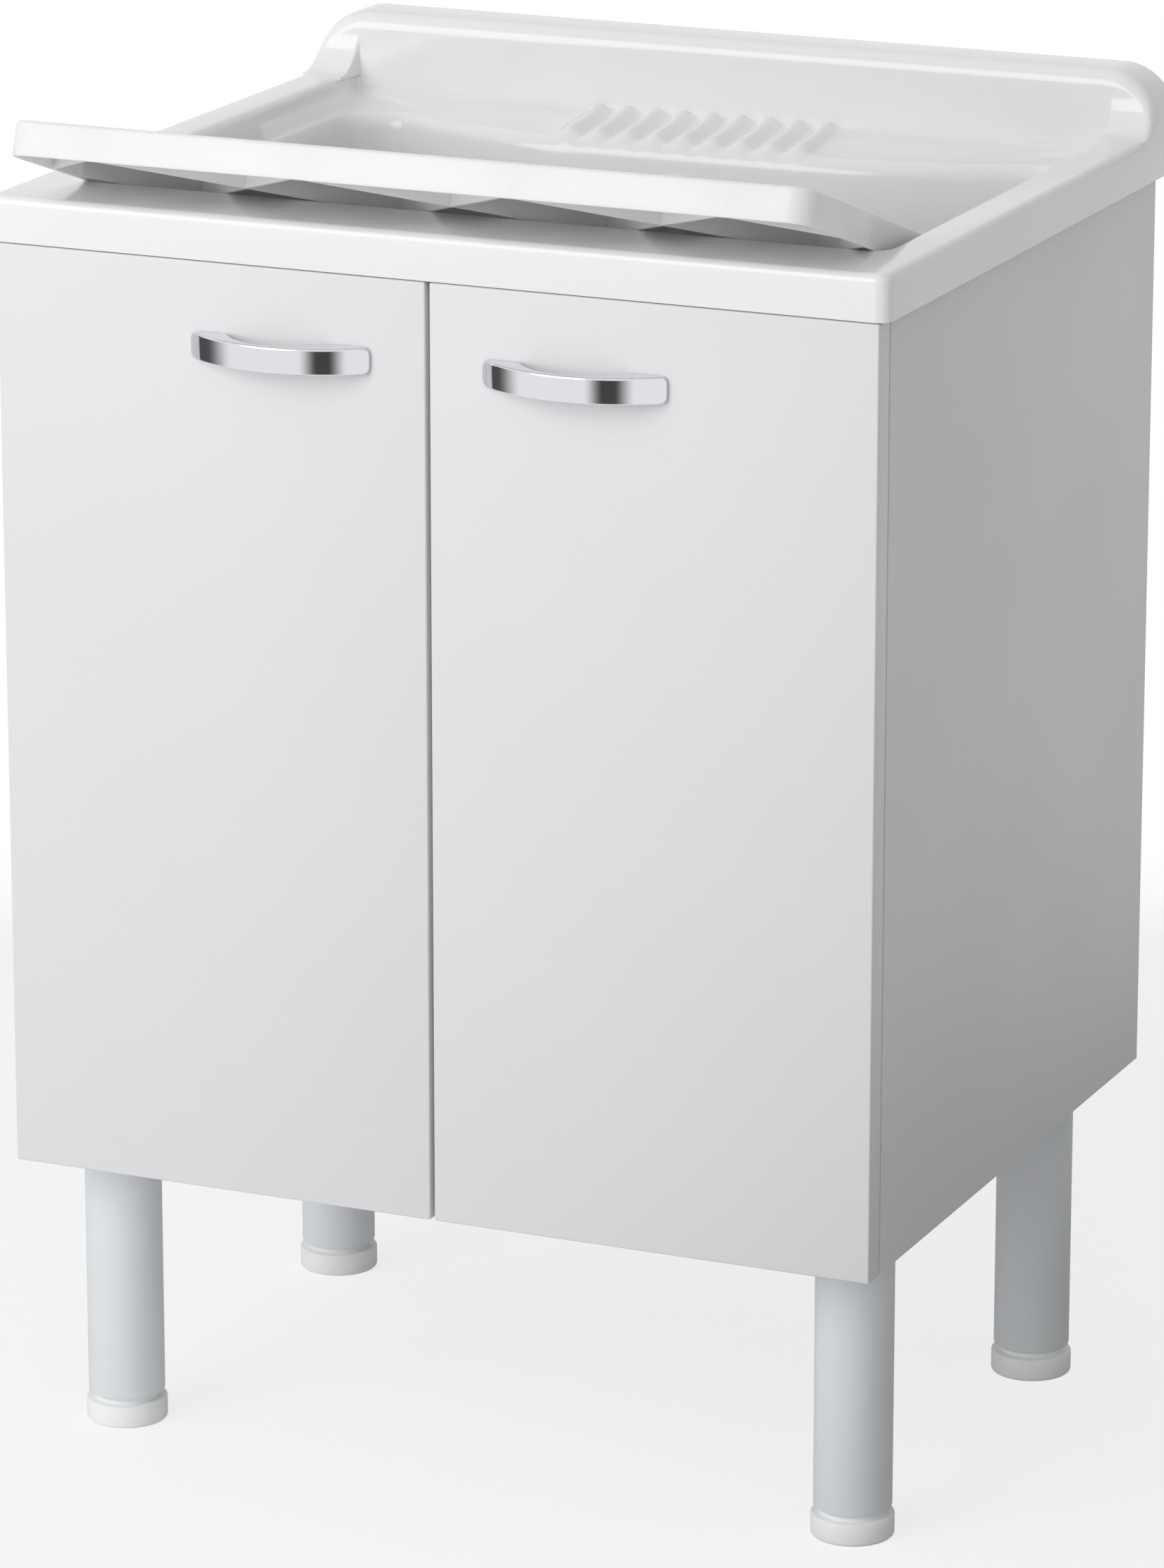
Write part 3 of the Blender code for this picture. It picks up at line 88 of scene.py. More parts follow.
class BasinSizes(bpy.types.PropertyGroup):
    """Sizes of the moulded basin."""
    wall: length("Wall", "Thickness of the moulding", 3.5)
    skirt: length("Skirt", "Height of the rim's apron", 29)
    edge: length("Outer edge", "Rounding of the rim's outer edge", 5)
    corner: length("Corner", "Rounding of the rim's corners in plan", 9)
    band: length("Front band", "Depth of the flat band at the front", 67.5)
    lip: length("Lip", "Rounding where the band turns down into the well", 6)
    clear: length("Well clearance", "Air between the well and the side panels", 2.5)
    splash_rise: length("Backsplash rise", "Backsplash above the rim", 40.5)
    splash_thick: length("Backsplash depth", "From the wall to the sunk panel", 38.5)
    splash_corner: length("Backsplash corner", "Rounding of its upper corners", 36)
    splash_roll: length("Backsplash roll", "Rounding of its top front edge", 11)
    splash_edge: length("Backsplash end", "Rounding of its upright end edges", 6)
    panel_proud: length("Panel", "How far the panel stands in front of the recess", 1.2)
    pillar_flare: length("Pillar flare", "Hollow rounding from the band up to the end pillars", 26)
    pillar_blend: length("Pillar blend", "Width of the turn from panel to pillar", 3)
    ledge_drop: length("Ledge drop", "Rear ledge below the rim", 13)
    ledge_fall: length("Ledge fall", "Fall of the ledge towards the well", 7)
    ledge_depth: length("Ledge depth", "Ledge from panel to well", 62)
    ledge_round: length("Ledge rounding", "Rounding from the ledge into the well", 12)
    ledge_bow: length("Ledge bow", "How far its edge draws back at the ends", 36)
    step: length("Side step", "Narrowing of the well behind the washboard", 11)
    well_depth: length("Well depth", "From rim to basin floor", 228)
    floor_radius: length("Floor rounding", "Rounding from walls to floor", 42)
    drain_back: length("Drain", "Drain from the front of the rim", 252)
    rib_pitch: length("Rib pitch", "Spacing of the moulded ribs", 20.4)
    rib_height: length("Rib height", "Height of the moulded ribs", 4.8)
    rib_length: length("Rib length", "Length of the moulded ribs", 59)
    rib_middle: length("Rib middle", "Middle of the row of ribs", -10)


class BoardSizes(bpy.types.PropertyGroup):
    """Sizes of the loose washboard."""
    depth: length("Depth", "From front skirt to rear end", 374)
    height: length("Height", "Height of its skirt", 22)
    wall: length("Wall", "Thickness of the moulding", 2.6)
    corner: length("Corner", "Rounding of its corners in plan", 16)
    play: length("Play", "Air on each side in the recess", 4.5)
    overhang: length("Overhang", "Part that lies in front of the lip", 110)
    tilt: number("Tilt", "Lean into the basin", math.radians(18.6), subtype="ANGLE")
    lattice_pitch: length("Lattice pitch", "Spacing of the ribs underneath", 139)
    lattice_run: length("Lattice run", "Depth of one lattice crossing", 82)
    lattice_wall: length("Lattice wall", "Thickness of the ribs underneath", 2.2)
    ridge_pitch: length("Ridge pitch", "Spacing of the scrubbing ridges", 18)
    ridge_height: length("Ridge height", "Height of the scrubbing ridges", 3)
    ridge_margin: length("Ridge margin", "Plain margin beside the ridges", 45.5)


class Finishes(bpy.types.PropertyGroup):
    """Colours of the finishes."""
    acrylic: tint("Basin", "Polished acrylic", "#F5F5F6")
    acrylic_shade: tint("Basin shade", "Thicker parts of the acrylic", "#F1F2F3")
    resin: tint("Washboard", "Moulded polypropylene", "#F8F9F9")
    resin_shade: tint("Washboard shade", "Polypropylene at the gate", "#F4F5F4")
    melamine: tint("Boards", "Melamine face", "#E7E7E8")
    melamine_shade: tint("Boards shade", "Melamine face, cloudier", "#E3E3E5")
    edging: tint("Edging", "Edge band on the boards", "#EDEDEE")
    chrome: tint("Handles", "Chrome plate", "#DFE0E3")
    leg: tint("Legs", "Powder coat", "#ECEEF0")
    leg_shade: tint("Legs shade", "Powder coat, thicker", "#E6E9EB")
    foot: tint("Feet", "Polyethylene", "#FBFBFB")
    nickel: tint("Hinges", "Nickel plate", "#C9C6BE")
    steel: tint("Strainer", "Stainless steel", "#CFD0D1")
    rubber: tint("Gasket", "Rubber", "#2A2A2B")
    trap: tint("Trap", "White polypropylene", "#EDEDEA")
    hose: tint("Hose", "Grey resin", "#C3C6C8")
    zinc: tint("Screws", "Zinc plate", "#BFC3C6")


class StageSettings(bpy.types.PropertyGroup):
    """Light and floor."""
    key: number("Key", "Large soft lamp at the front left", 50.0, unit="POWER")
    top: number("Top", "Weak soft lamp high behind the backsplash", 2.6, unit="POWER")
    fill: number("Fill", "Strength of the soft fill from the front left", 0.775)
    fill_back: number("Back fill", "Strength of the soft fill from the right rear", 0.24)
    floor: tint("Floor", "Pale floor", "#F7F7F7")
    bounce: tint("Floor bounce", "What the floor throws back on the object", "#F0F0F0")
    sky: tint("Sky", "Tone of the soft fill", "#F8F9FA")
    card: tint("Cards", "Dark cards that the chrome reflects", "#797476")
    veil: number("Floor veil", "Share of white laid over the floor and its shadow", 0.75, subtype="FACTOR",
                 min=0.0, max=1.0)


# Shapes

def arc(centre, radius, start, end, count):
    """Points of an arc, angles in degrees, both ends included."""
    turns = [math.radians(start + (end - start) * i / count) for i in range(count + 1)]
    return [(centre[0] + radius * math.cos(a), centre[1] + radius * math.sin(a)) for a in turns]


def rounded_rectangle(low, high, radius, count=6):
    """Outline of a rectangle with round corners, counter-clockwise."""
    corners = ((high[0] - radius, low[1] + radius), (high[0] - radius, high[1] - radius),
               (low[0] + radius, high[1] - radius), (low[0] + radius, low[1] + radius))
    points = []
    for i, centre in enumerate(corners):
        points += arc(centre, radius, i * 90 - 90, i * 90, count)
    return points


def solid(verts, faces):
    """A mesh with its faces turned outwards."""
    mesh = bpy.data.meshes.new("solid")
    mesh.from_pydata([tuple(v) for v in verts], [], [face for face in faces if len(set(face)) > 2])
    work = bmesh.new()
    work.from_mesh(mesh)
    bmesh.ops.recalc_face_normals(work, faces=work.faces)
    work.to_mesh(mesh)
    work.free()
    return mesh


def loft(rings, caps=True):
    """A skin over rings of equal length, its ends capped or left open."""
    count = len(rings[0])
    faces = []
    for row in range(len(rings) - 1):
        for i in range(count):
            j = (i + 1) % count
            faces.append((row * count + i, row * count + j, (row + 1) * count + j, (row + 1) * count + i))
    if caps:
        last = (len(rings) - 1) * count
        faces += [tuple(range(count)), tuple(range(last + count - 1, last - 1, -1))]
    return solid([point for ring in rings for point in ring], faces)


def prism(outline, low, high, plane="xy"):
    """An outline in a named plane, carried from low to high along the third axis."""
    spots = ["xyz".index(axis) for axis in plane]
    spots.append(3 - sum(spots))
    rings = []
    for level in (low, high):
        ring = []
        for first, second in outline:
            point = [0.0, 0.0, 0.0]
            for spot, value in zip(spots, (first, second, level)):
                point[spot] = value
            ring.append(point)
        rings.append(ring)
    return loft(rings)


def brick(low, high):
    """A box from corner to corner."""
    outline = [(low[0], low[1]), (high[0], low[1]), (high[0], high[1]), (low[0], high[1])]
    return prism(outline, low[2], high[2])


GRIP_DEPTH = 1.5


def lathe(profile, segments=48, lobes=0, swell=0.0):
    """A turned solid about Z, from radii and heights in millimetres; lobes give the widest rows a grip."""
    widest = max(radius for radius, _ in profile)
    verts, rows, faces = [], [], []
    for radius, height in profile:
        count = segments if radius else 1
        rows.append(range(len(verts), len(verts) + count))
        grip = lobes and radius > widest - GRIP_DEPTH
        for i in range(count):
            turn = math.tau * i / segments
            reach = radius + swell * max(0.0, math.cos(lobes * turn)) if grip else radius
            verts.append((reach * math.cos(turn) * MM, reach * math.sin(turn) * MM, height * MM))
    pairs = list(zip(rows, rows[1:]))
    if profile[0][0] and profile[-1][0]:
        pairs.append((rows[-1], rows[0]))
    for upper, lower in pairs:
        for i in range(segments):
            j = (i + 1) % segments
            quad = [upper[k % len(upper)] for k in (i, j)] + [lower[k % len(lower)] for k in (j, i)]
            faces.append(tuple(dict.fromkeys(quad)))
    return solid(verts, faces)


def linked(name, data):
    """A new object in the scene."""
    made = bpy.data.objects.new(name, data)
    bpy.context.scene.collection.objects.link(made)
    return made


def worked(mesh, kind, tool=None, **settings):
    """The mesh after one modifier; a second mesh is the tool of a boolean."""
    used = [linked("host", mesh)]
    change = used[0].modifiers.new(kind, kind)
    if tool:
        used.append(linked("tool", tool))
        change.object = used[1]
        change.solver = "EXACT"
    for key, value in settings.items():
        setattr(change, key, value)
    result = bpy.data.meshes.new_from_object(used[0].evaluated_get(bpy.context.evaluated_depsgraph_get()))
    for helper in used:
        bpy.data.objects.remove(helper, do_unlink=True)
    return result


def fused(mesh, other):
    """Two meshes as one skin."""
    return worked(mesh, "BOOLEAN", other, operation="UNION")


def cut(mesh, tool):
    """A mesh with another cut away from it."""
    return worked(mesh, "BOOLEAN", tool, operation="DIFFERENCE")


def rounded(mesh, width, segments=3, angle=35):
    """Round the edges that turn by more than an angle."""
    return worked(mesh, "BEVEL", width=width, segments=segments, limit_method="ANGLE",
                  angle_limit=math.radians(angle))


def joined(meshes):
    """Several meshes as one."""
    work = bmesh.new()
    for mesh in meshes:
        work.from_mesh(mesh)
    result = bpy.data.meshes.new("joined")
    work.to_mesh(result)
    work.free()
    return result


def moved(mesh, matrix):
    """A copy of a mesh, moved; a mirrored one keeps its faces outwards."""
    copy = mesh.copy()
    copy.transform(matrix)
    if matrix.determinant() < 0:
        copy.flip_normals()
    return copy


def at(x, y, z):
    """A move to a place."""
    return Matrix.Translation((x, y, z))


def middle(node):
    """Middle of a CAD node's box."""
    return sum(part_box(node), Vector()) / 2


TO_BACK = Matrix.Rotation(-math.pi / 2, 4, "X")
TO_FRONT = Matrix.Rotation(math.pi / 2, 4, "X")
TO_LEFT = Matrix.Rotation(-math.pi / 2, 4, "Y")
DOWN = Matrix.Rotation(math.pi, 4, "X")


# Rows of a screw head: share of its radius, height in radii, and whether the row lies in the cross recess
SCREW_ROWS = ((1.0, 0.0, False), (0.97, 0.2, False), (0.78, 0.42, False), (0.62, 0.5, False),
              (0.54, 0.5, True), (0.36, 0.12, True), (0.05, 0.1, False))
SCREW_SEGMENTS = 32
RECESS_WAIST = 0.35


def screw_head(radius, flat=1.0):
    """A domed screw head with a cross recess, standing on z=0 and flattened; radius in millimetres."""
    rows = []
    for share, height, crossed in SCREW_ROWS:
        row = []
        for turn in np.arange(SCREW_SEGMENTS) * math.tau / SCREW_SEGMENTS:
            pinch = RECESS_WAIST + (1 - RECESS_WAIST) * abs(math.cos(2 * turn)) ** 3 if crossed else 1.0
            reach = radius * share * pinch * MM
            row.append((reach * math.cos(turn), reach * math.sin(turn), height * radius * flat * MM))
        rows.append(row)
    return loft(rows)


def piece(name, mesh, looks, nodes=(), body="cabinet", sharp=35):
    """Show a mesh as a piece that rides on a body and stands for CAD nodes."""
    mesh.materials.clear()
    for look in looks:
        mesh.materials.append(finish(look))
    mesh.shade_smooth()
    mesh.set_sharp_from_angle(angle=math.radians(sharp))
    made = linked(name, mesh)
    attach(made, body)
    if nodes:
        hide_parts(*nodes)


# Finishes: slot, tone and its shade, size of the cloudy patches in mm, roughness and its swing, size of the
# relief in mm and its depth in mm, and settings of the shader's own sockets
FINISHES = {
    # Acrylic sheet formed and polished: clean white, wet gloss, the faintest long orange peel in reflections
    "acrylic_formed_polished": ("moulded_basin", "acrylic", "acrylic_shade", 120, 0.16, 0.04, 22, 0.02,
                                {"IOR": 1.49, "Coat Weight": 0.25, "Coat Roughness": 0.08}),
    # Polypropylene out of a polished mould: soft gloss, fine eroded grain, light seeps through thin walls
    "polypropylene_moulded_satin": ("washboard_resin", "resin", "resin_shade", 80, 0.33, 0.06, 2.5, 0.012,
                                    {"IOR": 1.49, "Subsurface Weight": 0.7, "Subsurface Scale": 0.008,
                                     "Subsurface Radius": (1.0, 1.0, 0.95)}),
    # Melamine paper pressed on chipboard: even satin white with a fine pearl texture, drawn coarser to show
    "melamine_pressed_pearl": ("white_board", "melamine", "melamine_shade", 160, 0.40, 0.06, 3.0, 0.02,
                               {"IOR": 1.54}),
    # Edge band glued on and trimmed: smoother and a little brighter than the faces
    "abs_edge_band_trimmed": ("white_board", "edging", "melamine", 60, 0.32, 0.05, 5.0, 0.01, {"IOR": 1.52}),
    # Zinc casting, polished and chrome plated: mirror with barely uneven gloss
    "zamak_chrome_plated": ("chrome", "chrome", "chrome", 30, 0.05, 0.02, 9.0, 0.002, {"Metallic": 1.0}),
    # Steel tube with baked powder coat: satin light grey with fine orange peel
    "steel_tube_powder_coated": ("leg_coating", "leg", "leg_shade", 40, 0.42, 0.08, 2.2, 0.03, {"IOR": 1.5}),
    # Polyethylene moulding: waxy white, matt
    "polyethylene_moulded_matt": ("foot_resin", "foot", "resin_shade", 25, 0.48, 0.06, 1.6, 0.015,
                                  {"IOR": 1.51}),
    # Pressed steel with nickel plate: warm grey metal with tool marks
    "steel_pressed_nickel_plated": ("hinge_nickel", "nickel", "zinc", 12, 0.28, 0.10, 1.2, 0.006,
                                    {"Metallic": 1.0}),
    # Stainless sheet, stamped and brushed: bright grey with soft cloudy gloss
    "stainless_stamped_brushed": ("strainer_steel", "steel", "zinc", 18, 0.24, 0.10, 0.8, 0.006,
                                  {"Metallic": 1.0}),
    # Moulded rubber: black, dull, dusty
    "rubber_moulded_dull": ("seal_rubber", "rubber", "rubber", 20, 0.72, 0.08, 1.5, 0.03, {"IOR": 1.52}),
    # Polypropylene trap parts: off-white, half matt with flow marks
    "polypropylene_trap_moulded": ("trap_resin", "trap", "resin_shade", 45, 0.36, 0.07, 3.0, 0.02,
                                   {"IOR": 1.49}),
    # Soft resin hose: light grey, a little greasy
    "hose_extruded_corrugated": ("hose_resin", "hose", "leg_shade", 30, 0.44, 0.08, 2.0, 0.02, {"IOR": 1.5}),
    # Zinc plated screws: cool grey with passivated patches
    "steel_zinc_plated": ("hinge_nickel", "zinc", "nickel", 4, 0.30, 0.12, 0.9, 0.005, {"Metallic": 1.0}),
}
ZINC = ["steel_zinc_plated"]
NICKEL = ["steel_pressed_nickel_plated"]
CHROME = ["zamak_chrome_plated"]
POWDER_COAT = ["steel_tube_powder_coated"]
POLYETHYLENE = ["polyethylene_moulded_matt"]
TRAP_RESIN = ["polypropylene_trap_moulded"]
BOARD_LOOKS = ["melamine_pressed_pearl", "abs_edge_band_trimmed"]


def add(tree, kind, inputs=None, **settings):
    """Add a node with its settings; an input that is a socket is linked, any other is set."""
    made = tree.nodes.new(kind)
    for key, value in settings.items():
        setattr(made, key, value)
    for key, value in (inputs or {}).items():
        if isinstance(value, bpy.types.NodeSocket):
            tree.links.new(value, made.inputs[key])
        else:
            made.inputs[key].default_value = value
    return made


def finish(name):
    """The named finish: cloudy tone, uneven gloss and fine relief on a Principled shader."""
    found = bpy.data.materials.get(name)
    if found:
        return found
    tone, shade, patch, rough, swing, grain, depth, sockets = FINISHES[name][1:]
    colours = bpy.context.scene.sink_finishes
    made = bpy.data.materials.new(name)
    made.use_nodes = True
    tree = made.node_tree
    shader = tree.nodes["Principled BSDF"]
    for key, value in sockets.items():
        shader.inputs[key].default_value = value
    place = add(tree, "ShaderNodeTexCoord").outputs["Object"]
    cloud = add(tree, "ShaderNodeTexNoise", {"Vector": place, "Scale": 1 / (patch * MM), "Detail": 4.0})
    mix = add(tree, "ShaderNodeMix", {0: cloud.outputs["Fac"], 6: (*getattr(colours, tone), 1.0),
                                      7: (*getattr(colours, shade), 1.0)}, data_type="RGBA")
    tree.links.new(mix.outputs[2], shader.inputs["Base Color"])
    relief = add(tree, "ShaderNodeTexNoise", {"Vector": place, "Scale": 1 / (grain * MM), "Detail": 2.0})
    gloss = add(tree, "ShaderNodeMapRange", {"Value": cloud.outputs["Fac"], "From Min": 0.3, "From Max": 0.7,
                                             "To Min": rough - swing / 2, "To Max": rough + swing / 2})
    tree.links.new(gloss.outputs[0], shader.inputs["Roughness"])
    bump = add(tree, "ShaderNodeBump", {"Height": relief.outputs["Fac"], "Distance": depth * MM})
    tree.links.new(bump.outputs[0], shader.inputs["Normal"])
    return made


# Basin

# Points along a ring's corner, front, side and rear, the number of ribs and the points across one
CORNER = 8
FRONT = 18
SIDE = 8
REAR = 12
RIBS = 9
RIB_STEPS = 8
STEP_RUN = 4 * MM
STEP_LEAD = 0.3
FRONT_CORNER = 12 * MM
FRONT_CORNER_GAIN = 6 * MM
REAR_CORNER = 8 * MM
LEDGE_CORNER = 36 * MM
LEDGE_CORNER_LOSS = 3 * MM
LEDGE_COVE = 4 * MM
FLOOR_CORNER = 34 * MM
FLOOR_CORNER_GAIN = 14 * MM
RIB_NOSE = 10 * MM
RIB_ROOT = 3 * MM
DRAFT = math.tan(math.radians(2.0))
REAR_DRAFT = math.radians(4.0)
# Turn from the ledge into the well: degrees, share of the side step by then, rows up to the next ring
LEDGE_TURN = ((0, 0.65, 2), (22.5, 0.8, 2), (45, 0.9, 2), (67.5, 0.96, 2), (90, 1.0, 6))
# Floor rings: radius about the drain and depth below the floor in millimetres, rows up to the next ring
FLOOR_RINGS = ((95, 2.5, 4), (37.5, 5, 1), (36, 5.6, 1), (35.2, 7, 1), (34.6, 11, 1), (25, 11, 1))


def basin_marks(b):
    """Levels and lines that several shapes of the basin share."""
    low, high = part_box("sink_basin")
    m = SimpleNamespace(near=low.y, far=high.y, half=high.x, peak=high.z)
    m.top = m.peak - b.splash_rise
    m.panel = m.far - b.splash_thick
    m.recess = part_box("right_side_panel")[0].x - b.clear - b.wall
    m.ledge_edge = m.panel - b.ledge_depth
    m.ledge_back = m.top - b.ledge_drop
    m.ledge_front = m.ledge_back - b.ledge_fall
    m.wall_top = m.ledge_front - b.ledge_round
    m.floor = m.top - b.well_depth
    m.wall_low = m.floor + b.floor_radius
    return m


def basin_rows(b, m):
    """Rings of the basin's skin from skirt over rim and ledge to the drain, with the rows up to the next."""
    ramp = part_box("washboard")[1].y + SEAT
    drain = np.array((0.0, m.near + b.drain_back))
    rib_half = RIBS * b.rib_pitch / 2

    def ring(front, rear, wide, near_round, far_round, z, step=0.0, bow=0.0):
        narrow = wide - step
        right = arc((wide - near_round, front + near_round), near_round, -90, 0, CORNER)
        start = front + near_round
        right += [(wide, start + (ramp - STEP_RUN - start) * i / SIDE) for i in range(1, SIDE)]
        for i in range(SIDE + 1):
            ease = 0.5 - 0.5 * math.cos(math.pi * i / SIDE)
            right.append((wide - step * ease, ramp + STEP_RUN * (i / SIDE - STEP_LEAD)))
        right += arc((narrow - far_round, rear + bow - far_round), far_round, 0, 90, CORNER)
        left = [(-x, y) for x, y in reversed(right)]
        span = narrow - far_round
        ends = (b.rib_middle + rib_half, b.rib_middle - rib_half)
        across = list(np.linspace(span, ends[0], REAR)[1:-1])
        across += list(np.linspace(*ends, RIBS * RIB_STEPS + 1))
        across += list(np.linspace(ends[1], -span, REAR)[1:-1])
        # The rear edge is straight over its middle third and bows back towards its ends
        behind = [(x, rear + bow * max(0.0, 1.5 * abs(x) / span - 0.5) ** 2) for x in across]
        reach = wide - near_round
        ahead = [(-reach + 2 * reach * i / FRONT, front) for i in range(1, FRONT)]
        return np.array([(x, y, z) for x, y in right + behind + left + ahead])

    def recess_ring(depth, rear, far_round, step=0.0, bow=0.0):
        lean = depth * DRAFT
        near_round = FRONT_CORNER + FRONT_CORNER_GAIN * depth / (m.top - m.wall_top)
        return ring(m.near + b.band + lean, rear, m.recess - lean, near_round, far_round, m.top - depth, step,
                    bow)

    rows = [(ring(m.near, m.far, m.half, b.corner, b.corner, m.top - b.skirt), 1)]
    for turn in np.radians(range(0, 91, 15)):
        inset = b.edge * (1 - math.cos(turn))
        rows.append((ring(m.near + inset, m.far - inset, m.half - inset, b.corner - inset, b.corner - inset,
                          m.top - b.edge * (1 - math.sin(turn))), 1))
    for turn in np.radians(range(0, 91, 15)):
        out = b.lip * (1 - math.sin(turn))
        rows.append((ring(m.near + b.band - out, m.panel + out, m.recess + out, FRONT_CORNER + out,
                          REAR_CORNER + out, m.top - b.lip * (1 - math.cos(turn))), 1))
    rows.append((recess_ring(b.ledge_drop - LEDGE_COVE, m.panel, REAR_CORNER), 4))
    rows.append((recess_ring(b.ledge_drop, m.panel - LEDGE_COVE, REAR_CORNER, b.step / 4), 16))
    for degrees, share, steps in LEDGE_TURN:
        turn = math.radians(degrees)
        far_round = LEDGE_CORNER - LEDGE_CORNER_LOSS * share
        rows.append((recess_ring(m.top - m.ledge_front + b.ledge_round * (1 - math.cos(turn)),
                                 m.ledge_edge + b.ledge_round * (1 - math.sin(turn)), far_round,
                                 b.step * share, b.ledge_bow), steps))
    lean = (m.wall_top - m.wall_low) * math.tan(REAR_DRAFT)
    low_front = m.near + b.band + (m.top - m.wall_top) * DRAFT + lean
    low_side = m.recess - (m.top - m.wall_low) * DRAFT
    for degrees in range(0, 91, 10):
        turn = math.radians(degrees)
        inset = b.floor_radius * (1 - math.cos(turn))
        swell = FLOOR_CORNER + FLOOR_CORNER_GAIN * degrees / 90
        rows.append((ring(low_front + inset, m.ledge_edge - lean - inset, low_side - inset, swell, swell,
                          m.wall_low - b.floor_radius * math.sin(turn), b.step * (1 - degrees / 120),
                          b.ledge_bow * (1 - degrees / 180)), 1))
    aims = rows[-1][0][:, :2] - drain
    aims /= np.linalg.norm(aims, axis=1)[:, None]
    for radius, drop, steps in FLOOR_RINGS:
        level = np.full(len(aims), m.floor - drop * MM)
        rows.append((np.column_stack((drain + aims * radius * MM, level)), steps))
    return rows


def smooth_rows(rows):
    """Fill in rows between the rings by monotone cubics along each column, which add no bulge."""
    points = np.array([row for row, _ in rows])
    chords = np.linalg.norm(np.diff(points, axis=0), axis=2)[..., None].clip(1e-6)
    slopes = np.diff(points, axis=0) / chords
    tangents = np.concatenate((slopes[:1], slopes[:-1], slopes[-1:]))
    before, after = slopes[:-1], slopes[1:]
    near, far = chords[:-1], chords[1:]
    with np.errstate(divide="ignore", invalid="ignore"):
        mean = 3 * (near + far) / ((2 * far + near) / before + (far + 2 * near) / after)
    tangents[1:-1] = np.where(before * after > 0, mean, 0.0)
    result = []
    for k, (_, steps) in enumerate(rows[:-1]):
        for t in np.arange(steps) / steps:
            result.append(points[k] * (1 + 2 * t) * (1 - t) ** 2 + chords[k] * tangents[k] * t * (1 - t) ** 2
                          + points[k + 1] * t * t * (3 - 2 * t)
                          + chords[k] * tangents[k + 1] * t * t * (t - 1))
    result.append(points[-1])
    return np.array(result)


def raise_ribs(rows, b, panel):
    """Lift the ledge into a row of round ribs that start at the panel and end in round noses."""
    across = (rows[..., 0] - b.rib_middle) / b.rib_pitch
    wave = np.where(np.abs(across) < RIBS / 2, 0.5 + 0.5 * np.cos(math.tau * across), 0.0) ** 0.8
    run = panel - rows[..., 1]
    nose = ((b.rib_length - run) / RIB_NOSE).clip(0, 1)
    along = (run / RIB_ROOT).clip(0, 1) * np.sqrt(1 - (1 - nose) ** 2)
    raised = rows.copy()
    raised[..., 2] += b.rib_height * wave * along
    return raised


def basin_shell(b, m):
    """The basin's skin with ribs, closed by the same skin without ribs moved in by the wall."""
    plain = smooth_rows(basin_rows(b, m))
    across = np.roll(plain, -1, axis=1) - np.roll(plain, 1, axis=1)
    outward = np.cross(across, np.gradient(plain, axis=0))
    outward /= np.linalg.norm(outward, axis=2)[..., None]
    outside = raise_ribs(plain, b, m.panel)
    inside = plain - outward * b.wall
    return worked(loft([*outside, *inside[::-1], outside[0]], caps=False), "WELD", merge_threshold=0.002 * MM)


SPLASH_SAMPLES = 28
SPLASH_STATIONS = 24
BLEND_STATIONS = 8
SPLASH_BACK_EDGE = 3 * MM
SPLASH_FOOT = 9 * MM
SPLASH_SINK = 0.6
STATION_GAP = 0.3 * MM
FOOT_INSET = 0.05 * MM


def fall_off(radius, run):
    """Depth of a round of a radius, at a run past its start."""
    run = min(max(run, 0.0), radius)
    return radius - math.sqrt(radius * radius - run * run)


def splash_section(b, m, x):
    """Closed outline of the backsplash at one place across: foot, flare, face, roll and back."""
    reach = abs(x)
    peak = m.peak - fall_off(b.splash_corner, reach - m.half + b.splash_corner)
    inset = fall_off(b.splash_edge, reach - m.half + b.splash_edge)
    share = min(max((reach - m.recess) / b.pillar_blend + 1, 0.0), 1.0)
    flare = share * share * (3 - 2 * share)
    roll = min(b.splash_roll, peak - m.top)
    face = m.panel - b.panel_proud + inset
    front = []
    for i in range(SPLASH_SAMPLES + 1):
        z = m.top + (peak - m.top) * (1 - math.cos(math.pi * i / SPLASH_SAMPLES)) / 2
        ahead = flare * fall_off(b.pillar_flare, m.top + b.pillar_flare - z)
        front.append((face - ahead + fall_off(roll, z - peak + roll), z))
    base = m.top - (b.edge if reach > m.half - b.wall else b.wall * SPLASH_SINK)
    rear = m.far - inset
    back = arc((rear - SPLASH_BACK_EDGE, peak - SPLASH_BACK_EDGE), SPLASH_BACK_EDGE, 90, 0, 6)
    return [(x, y, z) for y, z in [(front[0][0], base), *front, *back, (rear, base)]]


def splash(b, m):
    """Backsplash lofted from end to end, with a foot behind the recess."""
    outer = [m.half - b.splash_corner * (1 - math.sin(math.pi / 2 * i / SPLASH_STATIONS))
             for i in range(SPLASH_STATIONS + 1)]
    inner = [m.recess - b.pillar_blend * (1 - i / BLEND_STATIONS) for i in range(BLEND_STATIONS + 1)]
    kept = [x for x in outer if x < inner[0] - STATION_GAP or x > inner[-1] + STATION_GAP]
    right = sorted(inner + kept)
    body = loft([splash_section(b, m, x) for x in [-x for x in reversed(right)] + right])
    foot = brick((SEAT - m.recess, m.panel - b.panel_proud + FOOT_INSET, m.ledge_back - b.wall / 2),
                 (m.recess - SEAT, m.panel + SPLASH_FOOT, m.top + b.wall))
    return fused(body, foot)


class SINK_OT_basin(bpy.types.Operator):
    """Make the moulded basin with its ribbed ledge and backsplash"""
    bl_idname = "sink.basin"
    bl_label = "Basin"

    def execute(self, context):
        b = context.scene.sink_basin
        m = basin_marks(b)
        whole = fused(basin_shell(b, m), splash(b, m))
        piece("basin_moulding", whole, ["acrylic_formed_polished"], ["sink_basin"], sharp=30)
        return {"FINISHED"}


# Washboard

